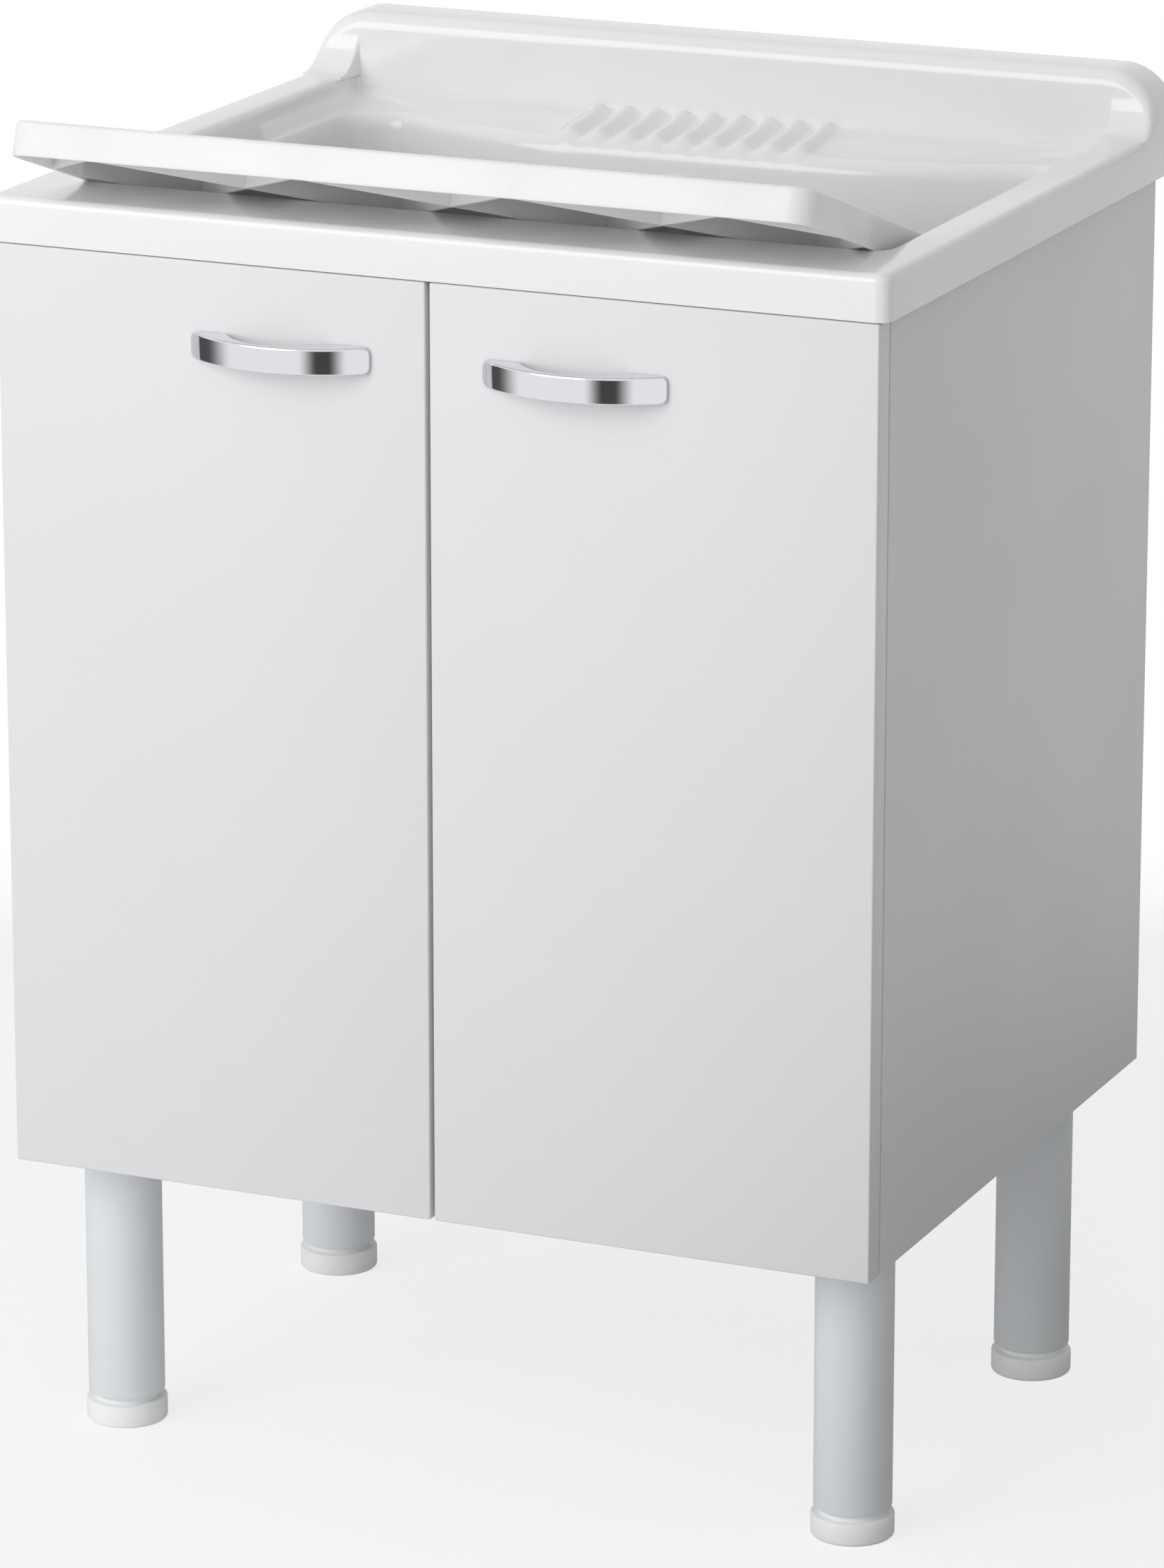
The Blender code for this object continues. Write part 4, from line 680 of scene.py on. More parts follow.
BOARD_CORNER = 12
BOARD_TOP_ROUND = 2.4 * MM
BOARD_FOOT_ROUND = 0.7 * MM
LATTICE_BARS = range(-5, 6)
LATTICE_LIFT = 0.45
LATTICE_STAGGER = 0.1
LATTICE_OVERRUN = 4 * MM
SHORTEST_BAR = 30 * MM
RIDGE_STATIONS = 25
RIDGE_END = 8 * MM
RIDGE_SHARE = 0.42
RIDGE_SINK = 0.4 * MM
RIDGE_LIFT = 0.1 * MM
RIDGE_FOOT = 1.2 * MM
RIDGE_TIP = 0.004


def board_outline(w, half, inset):
    """The board's outline in plan, moved in by an inset."""
    return rounded_rectangle((inset - half, inset), (half - inset, w.depth - inset), w.corner - inset,
                             BOARD_CORNER)


def board_shell(w, half):
    """Tray open below: inner skin, foot of the skirt, outer skin with a rounded top edge."""
    foot, edge = BOARD_FOOT_ROUND, BOARD_TOP_ROUND
    stations = [(w.wall, w.height - w.wall), (w.wall, foot), (w.wall - foot, 0.0), (foot, 0.0),
                (0.2 * MM, 0.2 * MM), (0.0, foot)]
    stations += [(edge * (1 - math.cos(turn)), w.height - edge * (1 - math.sin(turn)))
                 for turn in np.radians((0, 22.5, 45, 67.5, 90))]
    return loft([[(x, y, height) for x, y in board_outline(w, half, inset)] for inset, height in stations])


def board_lattice(w, half):
    """Two families of upright ribs that cross under the tray, trimmed to its inside."""
    rise = math.atan2(w.lattice_run, w.lattice_pitch / 2)
    low, high = -half + w.wall / 2, half - w.wall / 2
    lattice = None
    for lean in (1, -1):
        for i in LATTICE_BARS:
            start = Vector((w.lattice_pitch * (i + 0.5), 0, 0))
            aim = Vector((math.cos(rise) * lean, math.sin(rise), 0))
            sides = sorted((edge - start.x) / aim.x for edge in (low, high))
            ends = sorted((edge - start.y) / aim.y for edge in (w.wall / 2, w.depth - w.wall / 2))
            first = max(sides[0], ends[0]) - LATTICE_OVERRUN
            final = min(sides[1], ends[1]) + LATTICE_OVERRUN
            if final - first < SHORTEST_BAR:
                continue
            lift = (LATTICE_LIFT + LATTICE_STAGGER * lean) * MM
            bar = brick((first, -w.lattice_wall / 2, lift),
                        (final, w.lattice_wall / 2, w.height - w.wall / 2 + lift / 2))
            bar.transform(Matrix.Translation(start) @ Matrix.Rotation(math.atan2(aim.y, aim.x), 4, "Z"))
            lattice = fused(lattice, bar) if lattice else bar
    fit = prism(board_outline(w, half, w.wall / 2), -1 * MM, w.height)
    return worked(lattice, "BOOLEAN", fit, operation="INTERSECT")


def board_ridges(w, half):
    """Scrubbing ridges with round backs and round ends."""
    count = int((w.depth - 2 * w.ridge_margin) // w.ridge_pitch - 2)
    wide = half - w.ridge_margin
    base = w.height - RIDGE_SINK
    foot = w.height - RIDGE_FOOT
    deep = w.ridge_pitch * RIDGE_SHARE
    tall = w.ridge_height + RIDGE_LIFT
    ridges = []
    for i in range(count):
        line = w.depth / 2 + w.ridge_pitch * (i - (count - 1) / 2)
        rings = []
        for share in np.linspace(-1, 1, RIDGE_STATIONS):
            x = wide * math.sin(share * math.pi / 2)
            near = min(1.0, (wide - abs(x)) / RIDGE_END)
            grow = math.sqrt(max(RIDGE_TIP, 1 - (1 - near) ** 2))
            back = [(x, line + y * deep * grow, base + z * tall * grow)
                    for y, z in arc((0, 0), 1.0, 180, 0, 12)]
            rings.append([(x, back[0][1], foot), *back, (x, back[-1][1], foot)])
        ridges.append(loft(rings))
    return joined(ridges)


class SINK_OT_washboard(bpy.types.Operator):
    """Make the loose washboard, leant on the lip of the basin"""
    bl_idname = "sink.washboard"
    bl_label = "Washboard"

    def execute(self, context):
        w, b = context.scene.sink_board, context.scene.sink_basin
        m = basin_marks(b)
        half = m.recess - w.play
        board = fused(fused(board_shell(w, half), board_lattice(w, half)), board_ridges(w, half))
        sine, cosine = math.sin(w.tilt), math.cos(w.tilt)
        reach = b.lip + LIP_SEAT
        front = m.near + b.band - b.lip + reach * sine - w.overhang * cosine
        rest = m.top - b.lip + reach * cosine + w.overhang * sine
        board.transform(at(0, front, rest) @ Matrix.Rotation(-w.tilt, 4, "X"))
        piece("washboard_moulding", board, ["polypropylene_moulded_satin"], ["washboard"], "loose_board")
        return {"FINISHED"}


# Boards and doors

BOARDS = ("left_side_panel", "right_side_panel", "bottom_panel", "front_rail", "upper_back_rail",
          "lower_back_rail")
BOARD_EDGE = 0.7 * MM
DOOR_EDGE = 1.0 * MM
CUP_RADIUS = 17.5
CUP_DEPTH = 11.5
CUP_PLAY = 0.3
# Boards with cam fittings, and which way their fittings look
CAM_BOARDS = (("bottom_panel", Matrix()), ("front_rail", TO_BACK), ("upper_back_rail", TO_FRONT),
              ("lower_back_rail", TO_FRONT))
CAM_RADIUS = 7.5
CAM_FLAT = 0.3
CAM_INSET = 34 * MM
CAM_SHARE = 0.32
STOP_INSET = 22 * MM
STOP_LOW = 9 * MM


def banded(mesh):
    """Give the narrow sides of a board the edge band's finish."""
    thin = int(np.argmin(np.ptp([v.co for v in mesh.vertices], axis=0)))
    for face in mesh.polygons:
        face.material_index = 0 if abs(face.normal[thin]) > 0.5 else 1
    return mesh


class SINK_OT_carcass(bpy.types.Operator):
    """Make the carcass boards with their edge bands, and the fittings that join them"""
    bl_idname = "sink.carcass"
    bl_label = "Carcass"

    def execute(self, context):
        for node in BOARDS:
            board = rounded(brick(*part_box(node)), BOARD_EDGE)
            piece(node + "_board", banded(board), BOARD_LOOKS, [node])
        cam = screw_head(CAM_RADIUS, CAM_FLAT)
        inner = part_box("right_side_panel")[0].x - CAM_INSET
        cams = []
        for node, facing in CAM_BOARDS:
            low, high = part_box(node)
            for side in (-1, 1):
                for share in (0.5 - CAM_SHARE, 0.5 + CAM_SHARE):
                    spot = low + (high - low) * share
                    if node == "bottom_panel":
                        spot.z = high.z
                    else:
                        spot.y = high.y if facing == TO_BACK else low.y
                    cams.append(moved(cam, at(side * inner, spot.y, spot.z) @ facing))
        piece("cam_fittings", joined(cams), ZINC)
        return {"FINISHED"}


class SINK_OT_doors(bpy.types.Operator):
    """Make the doors with their hinge pockets and soft stops"""
    bl_idname = "sink.doors"
    bl_label = "Doors"

    def execute(self, context):
        for side, sign in SIDES:
            low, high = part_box(side + "_door")
            reach, depth = CUP_RADIUS + CUP_PLAY, -CUP_DEPTH - CUP_PLAY
            pocket = lathe([(0, 5), (reach, 5), (reach, depth), (0, depth)])
            pockets = []
            for level in ("lower", "upper"):
                spot = middle("%s_%s_hinge_cup" % (side, level))
                pockets.append(moved(pocket, at(spot.x, high.y, spot.z) @ TO_BACK))
            door = cut(banded(rounded(brick(low, high), DOOR_EDGE, 4)), joined(pockets))
            piece(side + "_door_board", door, BOARD_LOOKS, [side + "_door"], side + "_leaf")
            dot = lathe([(0, 1.7), (2.5, 1.6), (3.8, 1.1), (4.5, 0.3), (4.5, 0), (0, 0)], 32)
            x = (low.x if sign > 0 else high.x) + sign * STOP_INSET
            stops = [moved(dot, at(x, high.y, z) @ TO_BACK) for z in (low.z + STOP_LOW, high.z - STOP_INSET)]
            piece(side + "_door_stops", joined(stops), POLYETHYLENE, body=side + "_leaf")
        return {"FINISHED"}


# Handles

HANDLE_STATIONS = 64
HANDLE_PAD = 24 * MM
HANDLE_THICK = 4.5 * MM
HANDLE_END = 2.2 * MM
HANDLE_ROUND = 4.0 * MM
HANDLE_EDGE = 1.3 * MM
HANDLE_EDGE_STEPS = 5
HANDLE_CROWN = 0.15 * MM
HANDLE_SCREW = 4.5
HANDLE_SCREW_FLAT = 0.7
HANDLE_FACE = (-0.95, -0.6, 0.0, 0.6, 0.95)


def bow(half, rise, x):
    """Height of a circular bow over its chord."""
    radius = (half * half + rise * rise) / (2 * rise)
    return math.sqrt(max(0.0, radius * radius - x * x)) - radius + rise


def handle_mesh(size):
    """A strap bent to a bow, with flat pads at both ends; the door is the plane y=0."""
    half, tall, rise = size.x / 2, size.z / 2, size.y
    rings = []
    for share in np.linspace(-1, 1, HANDLE_STATIONS):
        x = half * math.sin(share * math.pi / 2)
        outer = HANDLE_END + bow(half, rise - HANDLE_END, x)
        inner = 0.0
        if abs(x) < half - HANDLE_PAD:
            inner = bow(half - HANDLE_PAD, rise - HANDLE_THICK, x)
        gap = max(0.0, HANDLE_ROUND - (half - abs(x)))
        high = tall - HANDLE_ROUND + math.sqrt(max(0.0, HANDLE_ROUND ** 2 - gap ** 2))
        edge = min(HANDLE_EDGE, (outer - inner) * 0.45)
        outline = rounded_rectangle((inner, -high), (outer, high), edge, HANDLE_EDGE_STEPS)
        first = HANDLE_EDGE_STEPS + 1
        outline[first:first] = [(outer, (high - edge) * part) for part in HANDLE_FACE]
        ring = []
        for depth, height in outline:
            crown = HANDLE_CROWN * (1 - (height / high) ** 2) if depth > outer - 0.5 * edge else 0.0
            ring.append((x, -depth - crown, height))
        rings.append(ring)
    return loft(rings)


class SINK_OT_handles(bpy.types.Operator):
    """Make the bow handles and the screws that hold them"""
    bl_idname = "sink.handles"
    bl_label = "Handles"

    def execute(self, context):
        for side, _ in SIDES:
            low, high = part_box(side + "_handle")
            centre = middle(side + "_handle")
            bow_strap = handle_mesh(high - low - Vector((0, HANDLE_CROWN, 0)))
            bow_strap.transform(at(centre.x, high.y, centre.z))
            piece(side + "_handle_bow", bow_strap, CHROME, [side + "_handle"], side + "_leaf")
            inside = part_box(side + "_door")[1].y
            head = screw_head(HANDLE_SCREW, HANDLE_SCREW_FLAT)
            screws = [moved(head, at(x, inside, centre.z) @ TO_BACK)
                      for x in (low.x + HANDLE_PAD / 2, high.x - HANDLE_PAD / 2)]
            piece(side + "_handle_screws", joined(screws), ZINC, body=side + "_leaf")
        return {"FINISHED"}


# Hinges

CUP_BRIM = 1.2
CUP_WALL = 1.4
CUP_EDGE = 0.3 * MM
WING_CORNER = (9 * MM, 30 * MM)
WING_ROUND = 6 * MM
WING_LEVELS = (0.02 * MM, 0.98 * MM)
WING_SCREWS = 24 * MM
HINGE_PLATE_HALF = 25 * MM
HINGE_PLATE_ROUND = 7 * MM
HINGE_PLATE_EDGE = 0.8 * MM
HINGE_PLATE_SCREWS = 17 * MM
HINGE_PLATE_SCREWS_BACK = 42 * MM
ARM_NOSE = 6 * MM
ARM_HALF = 7 * MM
ARM_EDGE = 1.2 * MM
ARM_BACK = 10 * MM
ARM_SCREWS = (26 * MM, 44 * MM)


def hinge_cup():
    """Cup with screw wings, opening along +Z, wings resting on z=0."""
    brim, bore, sole = CUP_RADIUS + CUP_BRIM, CUP_RADIUS - CUP_WALL, CUP_WALL - CUP_DEPTH
    blank = lathe([(0, 1), (brim, 1), (brim, 0), (CUP_RADIUS, 0), (CUP_RADIUS, -CUP_DEPTH), (0, -CUP_DEPTH)])
    outline = rounded_rectangle((-WING_CORNER[0], -WING_CORNER[1]), WING_CORNER, WING_ROUND)
    hollow = lathe([(0, 5), (bore, 5), (bore, sole), (0, sole)])
    return rounded(cut(fused(blank, prism(outline, *WING_LEVELS)), hollow), CUP_EDGE, 2, 40)


class SINK_OT_hinges(bpy.types.Operator):
    """Make the concealed hinges: cups, arms, mounting plates and screws"""
    bl_idname = "sink.hinges"
    bl_label = "Hinges"

    def execute(self, context):
        cup = hinge_cup()
        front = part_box("right_side_panel")[0].y
        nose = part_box("right_door")[1].y - ARM_NOSE
        plate_low, plate_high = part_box("right_lower_hinge_plate")
        back = plate_low.x - SEAT
        plate = rounded_rectangle((plate_low.y, -HINGE_PLATE_HALF), (plate_high.y, HINGE_PLATE_HALF),
                                  HINGE_PLATE_ROUND)
        plate = rounded(prism(plate, plate_low.x, plate_high.x, "yz"), HINGE_PLATE_EDGE)
        # The arm's outline: millimetres out from the plate, and the place along the depth
        spine = [(0, front + 6 * MM), (0, front + 62 * MM), (8, front + 60 * MM), (10, front + 52 * MM),
                 (10, front + 14 * MM), (12, front + 4 * MM), (12, nose + 3 * MM), (9, nose), (1, nose),
                 (-2, nose + 3 * MM), (-2, front + 2 * MM)]
        arm = prism([(back - drop * MM, y) for drop, y in spine], -ARM_HALF, ARM_HALF)
        arm = rounded(arm, ARM_EDGE, 4)
        fixing = moved(screw_head(3.6), TO_LEFT)
        screws = [moved(fixing, at(plate_low.x, front + HINGE_PLATE_SCREWS_BACK, z))
                  for z in (-HINGE_PLATE_SCREWS, HINGE_PLATE_SCREWS)]
        screws += [moved(fixing, at(back - ARM_BACK, front + y, 0)) for y in ARM_SCREWS]
        wing_screw = moved(screw_head(3.8), TO_BACK)
        for side, sign in SIDES:
            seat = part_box(side + "_door")[1].y + SEAT
            for level in ("lower", "upper"):
                name = "%s_%s_hinge" % (side, level)
                spot = middle(name + "_cup")
                turn = at(0, 0, spot.z) @ Matrix.Diagonal((sign, 1, 1, 1))
                piece(name + "_cup_pressing", moved(cup, at(spot.x, seat, spot.z) @ TO_BACK), NICKEL,
                      [name + "_cup"], side + "_leaf")
                piece(name + "_plate_pressing", moved(plate, turn), NICKEL, [name + "_plate"])
                piece(name + "_arm_pressing", moved(arm, turn), NICKEL, [name + "_arm"])
                piece(name + "_screws", moved(joined(screws), turn), ZINC)
                wings = [moved(wing_screw, at(spot.x, seat + 0.9 * MM, spot.z + z))
                         for z in (-WING_SCREWS, WING_SCREWS)]
                piece(name + "_cup_screws", joined(wings), ZINC, body=side + "_leaf")
        return {"FINISHED"}


# Legs and feet

THREAD_PITCH = 1.5
PLATE_THICK = 4.7
PLATE_SCREWS = 28.2 * MM


class SINK_OT_legs(bpy.types.Operator):
    """Make the legs with their plates, levelling feet and studs"""
    bl_idname = "sink.legs"
    bl_label = "Legs"

    def execute(self, context):
        plate = lathe([(0, PLATE_THICK), (31.2, PLATE_THICK), (32, 4.2), (32, 1.2), (31.4, 0.4), (30, 0),
                       (23.1, 0), (23.1, -11.4), (22.5, -12), (0, -12)], 64)
        screws = joined([moved(screw_head(3.6, 0.5), at(x, y, 0) @ DOWN)
                         for x, y in arc((0, 0), PLATE_SCREWS, 45, 315, 3)])
        for leg in LEGS:
            low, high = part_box(leg + "_leg")
            foot_low, foot_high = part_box(leg + "_foot")
            spot = middle(leg + "_leg")
            plate_at = at(spot.x, spot.y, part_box(leg + "_leg_plate")[1].z - PLATE_THICK * MM)
            foot_at = at(spot.x, spot.y, foot_low.z)
            tall = (high.z - low.z) / MM
            leg_tube = lathe([(23.4, tall), (24.6, tall), (25, tall - 0.5), (25, 1.6), (24.7, 0.8),
                              (24.2, 0.2), (23.4, 0), (5.6, 0), (5.6, 36), (0, 36), (0, 42), (23.4, 42)], 72)
            piece(leg + "_leg_tube", moved(leg_tube, at(spot.x, spot.y, low.z)), POWDER_COAT, [leg + "_leg"])
            piece(leg + "_leg_socket", moved(plate, plate_at), POWDER_COAT, [leg + "_leg_plate"])
            piece(leg + "_leg_screws", moved(screws, plate_at), ZINC)
            neck = (low.z - foot_low.z - SEAT) / MM
            pad = lathe([(4.6, neck), (20.6, neck), (21, neck - 0.4), (21, 15.4), (21.6, 15), (25.4, 15),
                         (26.1, 14.7), (26.5, 14), (26.5, 2), (26.2, 1), (25.5, 0.3), (24.6, 0), (0, 0),
                         (0, 3), (4.6, 3)], 72)
            piece(leg + "_foot_pad", moved(pad, foot_at), POLYETHYLENE, [leg + "_foot"], leg + "_leveller")
            top = (foot_high.z - foot_low.z) / MM
            thread = [(0, top), (4.2, top)]
            for i in range(int((top - 4) / THREAD_PITCH)):
                thread += [(4.9, top - THREAD_PITCH * (i + 0.5)), (4.3, top - THREAD_PITCH * (i + 1))]
            stud = lathe([*thread, (4.4, 3.2), (0, 3.2)], 20)
            piece(leg + "_foot_stud", moved(stud, foot_at), ZINC, body=leg + "_leveller")
        return {"FINISHED"}


# Waste and overflow

HOSE_RADIUS = 9.0
HOSE_GROOVE = 1.4
HOSE_PITCH = 2.2
HOSE_CUFF = 14.0
HOSE_SAG = 1.15
HOSE_LEAD = 110 * MM
HOSE_SAMPLES = 600
HOSE_SEGMENTS = 24
PIPE_EDGE = 0.4
ELBOW_BACK = 11.4 * MM
OVERFLOW_DROP = 52 * MM
TRAP_OUTLET_DROP = 36 * MM
BODY_SPIGOT_DROP = 30 * MM

# Rings of holes in the strainer: radius in millimetres and count
STRAINER_HOLES = ((8.5, 6), (14.6, 12))
# Turned waste pieces, heights in millimetres below the top of their node: profile, grip lobes and their swell
TURNED_WASTE = {
    "waste_gasket": ([(23.1, 0), (32.6, 0), (33, -0.4), (33, -2.6), (32.6, -3), (23.1, -3)], 0, 0),
    "waste_nut": ([(23.6, 0), (30.6, 0), (31.2, -0.6), (31.6, -8.4), (31, -9), (23.6, -9)], 12, 1.4),
    "tail_pipe": ([(14.2, 0), (15.7, 0), (16, -0.3), (16, -149.7), (15.7, -150), (14.2, -150)], 0, 0),
    "tail_nut": ([(16.9, 0), (21.8, 0), (22.4, -0.6), (22.8, -11), (22.2, -11.7), (16.9, -11.7)], 12, 1.2),
    "trap_cup": ([(31.3, 0), (32.4, 0), (33, -0.6), (33, -18), (32.4, -20), (29.8, -36), (27, -39.5),
                  (12, -42), (0, -42), (0, -39.5), (11, -39.5), (27.4, -34), (28.8, -14.3), (31.3, -14.3)],
                 18, 1.3),
}


def tube(outer, bore, near, far):
    """A plain pipe along Z with broken edges, sizes in millimetres."""
    edge = outer - PIPE_EDGE
    return lathe([(bore, far), (edge, far), (outer, far - PIPE_EDGE), (outer, near + PIPE_EDGE), (edge, near),
                  (bore, near)])


def hose_mesh(start, end):
    """Corrugated hose that drops from the elbow and turns in to the waste body."""
    drop = Vector((0, 0, (start.z - end.z) * HOSE_SAG))
    corners = [np.array(point) for point in (start, start - drop, end + Vector((0, HOSE_LEAD, 0)), end)]
    t = np.linspace(0, 1, HOSE_SAMPLES)[:, None]
    line = (corners[0] * (1 - t) ** 3 + 3 * corners[1] * t * (1 - t) ** 2 + 3 * corners[2] * t * t * (1 - t)
            + corners[3] * t ** 3)
    reach = np.concatenate(([0], np.cumsum(np.linalg.norm(np.diff(line, axis=0), axis=1))))
    count = int(reach[-1] / (HOSE_PITCH * MM)) // 2 * 2 + 1
    stops = np.linspace(0, reach[-1], count)
    spots = np.column_stack([np.interp(stops, reach, line[:, axis]) for axis in range(3)])
    aims = np.gradient(spots, axis=0)
    rings = []
    for k, (spot, aim) in enumerate(zip(spots, aims)):
        aim = Vector(aim).normalized()
        side = Vector((1, 0, 0)).cross(aim).normalized()
        other = aim.cross(side)
        cuff = min(stops[k], reach[-1] - stops[k]) < HOSE_CUFF * MM
        radius = (HOSE_RADIUS - (0 if cuff or k % 2 else HOSE_GROOVE)) * MM
        rings.append([Vector(spot) + (side * math.cos(a) + other * math.sin(a)) * radius
                      for a in np.linspace(0, math.tau, HOSE_SEGMENTS, endpoint=False)])
    return loft(rings)


def node_end(node, axis, side):
    """Middle of the points at one end of a CAD node."""
    points = np.array([v.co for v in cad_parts[node].data.vertices])
    edge = points[:, axis].max() if side > 0 else points[:, axis].min()
    return Vector(points[np.abs(points[:, axis] - edge) < 0.1 * MM].mean(0))


class SINK_OT_waste(bpy.types.Operator):
    """Make the strainer, waste body, trap and outlet"""
    bl_idname = "sink.waste"
    bl_label = "Waste"

    def execute(self, context):
        x, y, _ = middle("waste_strainer")
        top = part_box("waste_strainer")[1].z
        strainer = lathe([(0, -2.4), (14, -2.2), (18.4, -1.6), (20.4, -0.5), (22.4, 0), (28, -0.1),
                          (31.6, -0.7), (32.8, -1.9), (33, -3.1), (22.5, -3.1), (22.5, -39.4), (19.9, -39.4),
                          (19.9, -5.4), (0, -5.4)], 72)
        hole = lathe([(0, 6), (2.6, 6), (2.6, -12), (0, -12)], 20)
        holes = [moved(hole, at(r * MM * math.cos(a), r * MM * math.sin(a), 0))
                 for r, count in STRAINER_HOLES for a in np.arange(count) * math.tau / count]
        strainer = moved(cut(strainer, joined(holes)), at(x, y, top))
        piece("strainer_flange", strainer, ["stainless_stamped_brushed"], ["waste_strainer"])
        piece("strainer_screw", moved(screw_head(4.2), at(x, y, top - 2.5 * MM)), ZINC)
        for node, (profile, lobes, swell) in TURNED_WASTE.items():
            turning = moved(lathe(profile, 96 if lobes else 56, lobes, swell), at(x, y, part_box(node)[1].z))
            looks = ["rubber_moulded_dull"] if node == "waste_gasket" else TRAP_RESIN
            piece(node + "_turning", turning, looks, [node])
        body = lathe([(23.1, 0), (26.2, 0), (26.6, -0.4), (26.6, -39), (26, -40.6), (20.9, -43.6),
                      (20.3, -45), (20.3, -52), (16.3, -52), (16.3, -40), (23.1, -36)], 56)
        body = fused(body, moved(tube(8, 5.5, 24.6, 44.6), at(0, 0, -BODY_SPIGOT_DROP) @ TO_BACK))
        body = moved(body, at(x, y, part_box("waste_body")[1].z))
        piece("waste_body_moulding", body, TRAP_RESIN, ["waste_body"])
        trap = lathe([(16.3, 0), (20.6, 0), (21, -0.4), (21, -7), (21.8, -8.6), (29, -14.6), (31, -17.4),
                      (31, -74), (28.5, -74), (28.5, -18), (16.3, -11)], 56)
        trap = fused(trap, moved(tube(18.8, 16.3, 29.2, 53), at(0, 0, -TRAP_OUTLET_DROP) @ TO_BACK))
        trap_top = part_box("trap_body")[1].z
        piece("trap_body_moulding", moved(trap, at(x, y, trap_top)), TRAP_RESIN, ["trap_body"])
        axis = at(x, y, trap_top - TRAP_OUTLET_DROP) @ TO_BACK
        nut = [(16.9, 65), (21.8, 65), (22.4, 64.4), (22.8, 54), (22.2, 53.3), (16.9, 53.3)]
        piece("outlet_nut_turning", moved(lathe(nut, 96, 12, 1.2), axis), TRAP_RESIN, ["outlet_nut"])
        far = (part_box("outlet_pipe")[1].y - y) / MM
        piece("outlet_pipe_length", moved(tube(16, 14.2, 34, far), axis), TRAP_RESIN, ["outlet_pipe"])
        return {"FINISHED"}


class SINK_OT_overflow(bpy.types.Operator):
    """Make the overflow rosette, elbow and hose"""
    bl_idname = "sink.overflow"
    bl_label = "Overflow"

    def execute(self, context):
        b = context.scene.sink_basin
        m = basin_marks(b)
        z = m.top - OVERFLOW_DROP
        y = m.ledge_edge - (m.wall_top - z) * math.tan(REAR_DRAFT)
        spot = Vector((middle("overflow_rosette").x, y, z))
        turn = Matrix.Translation(spot) @ Matrix.Rotation(math.pi / 2 - REAR_DRAFT, 4, "X")
        rosette = lathe([(4.5, 2.5), (4.9, 3.1), (6, 3.5), (9, 3.4), (11.4, 2.8), (12.6, 1.9), (13, 0.9),
                         (13, 0.3), (8.6, 0.3), (8.6, -6.4), (6.2, -6.4), (6.2, 0.6), (4.5, 0.6)], 56)
        piece("overflow_rosette_cap", moved(rosette, turn), TRAP_RESIN, ["overflow_rosette"])
        elbow = lathe([(9.2, -3.8), (14.6, -3.8), (15, -4.2), (15, -7.4), (14.6, -7.8), (12, -8.6),
                       (11.4, -9.4), (11.4, -18.4), (10.4, -20), (0, -20), (0, -16), (9.2, -16)], 56)
        down = moved(tube(7, 4.8, -34, -9), at(spot.x, spot.y + b.wall + SEAT + ELBOW_BACK, spot.z))
        piece("overflow_elbow_moulding", fused(moved(elbow, turn), down), TRAP_RESIN, ["overflow_elbow"])
        hose = hose_mesh(node_end("overflow_hose", 2, 1), node_end("overflow_hose", 1, -1))
        piece("overflow_hose_corrugated", hose, ["hose_extruded_corrugated"], ["overflow_hose"], sharp=60)
        return {"FINISHED"}


# Stage

# Camera: where it stands, which way it looks and its lens in millimetres
EYE = Vector((1.84879, -4.19397, 1.73040))
LOOK = Vector((-0.38783, 0.87970, -0.27517))
LENS = 169.33
FILL_FROM = (-0.3, -0.95, 0.0)
KEY_AT = Vector((-1.4, -3.1, 1.85))
KEY_SIZE = 2.8
TOP_AT = Vector((-0.3, 0.7, 2.4))
TOP_SIZE = 2.0
LAMP_AIM = Vector((0, 0, 0.6))
# Dark cards that only reflections see: name, two corners on the floor and the height
CARDS = (("card_front", Vector((-0.05, -2.08)), Vector((1.15, -1.66)), 0.7),
         ("card_left", Vector((-1.9, -1.5)), Vector((-1.9, 1.1)), 0.7))
# Where a card starts to fade and where it ends, as shares of its width from its middle
CARD_FADE = (0.1, 0.5)
FLOOR_HALF = 6.0
# Distances from the object at which the floor starts and ends to fade into the white
FLOOR_FADE = (0.5, 1.4)
# Painted shade on the floor's bounce, for the object's shadow to the right: where across the floor the bounce
# starts to darken, where it is darkest, and the share then lost
PAINTED_SHADE_FADE = (-0.1, 0.7)
PAINTED_SHADE_SHARE = 0.9


def stage_material(name):
    """A new material with nothing but its output, and its node tree."""
    made = bpy.data.materials.new(name)
    made.use_nodes = True
    tree = made.node_tree
    tree.nodes.remove(tree.nodes["Principled BSDF"])
    return made, tree


def fade(tree, value, ends, most=1.0):
    """A soft rise from 0 to the most between two ends."""
    return add(tree, "ShaderNodeMapRange", {"Value": value, "From Min": ends[0], "From Max": ends[1],
                                            "To Max": most}, interpolation_type="SMOOTHSTEP").outputs[0]


def see_through(tree, share, surface):
    """Lay a share of clear over a surface."""
    clear = add(tree, "ShaderNodeBsdfTransparent")
    both = add(tree, "ShaderNodeMixShader", {0: share, 1: surface.outputs[0], 2: clear.outputs[0]})
    tree.links.new(both.outputs[0], tree.nodes["Material Output"].inputs["Surface"])


def card_material(s):
    """Dyed felt with soft ends, for the dark bands in the chrome."""
    made, tree = stage_material("felt_dyed_grey")
    across = add(tree, "ShaderNodeSeparateXYZ", {0: add(tree, "ShaderNodeTexCoord").outputs["Generated"]})
    aside = add(tree, "ShaderNodeMath", {0: across.outputs["X"], 1: 0.5}, operation="SUBTRACT")
    away = add(tree, "ShaderNodeMath", {0: aside.outputs[0]}, operation="ABSOLUTE")
    felt = add(tree, "ShaderNodeBsdfDiffuse", {"Color": (*s.card, 1.0)})
    see_through(tree, fade(tree, away.outputs[0], CARD_FADE), felt)
    return made


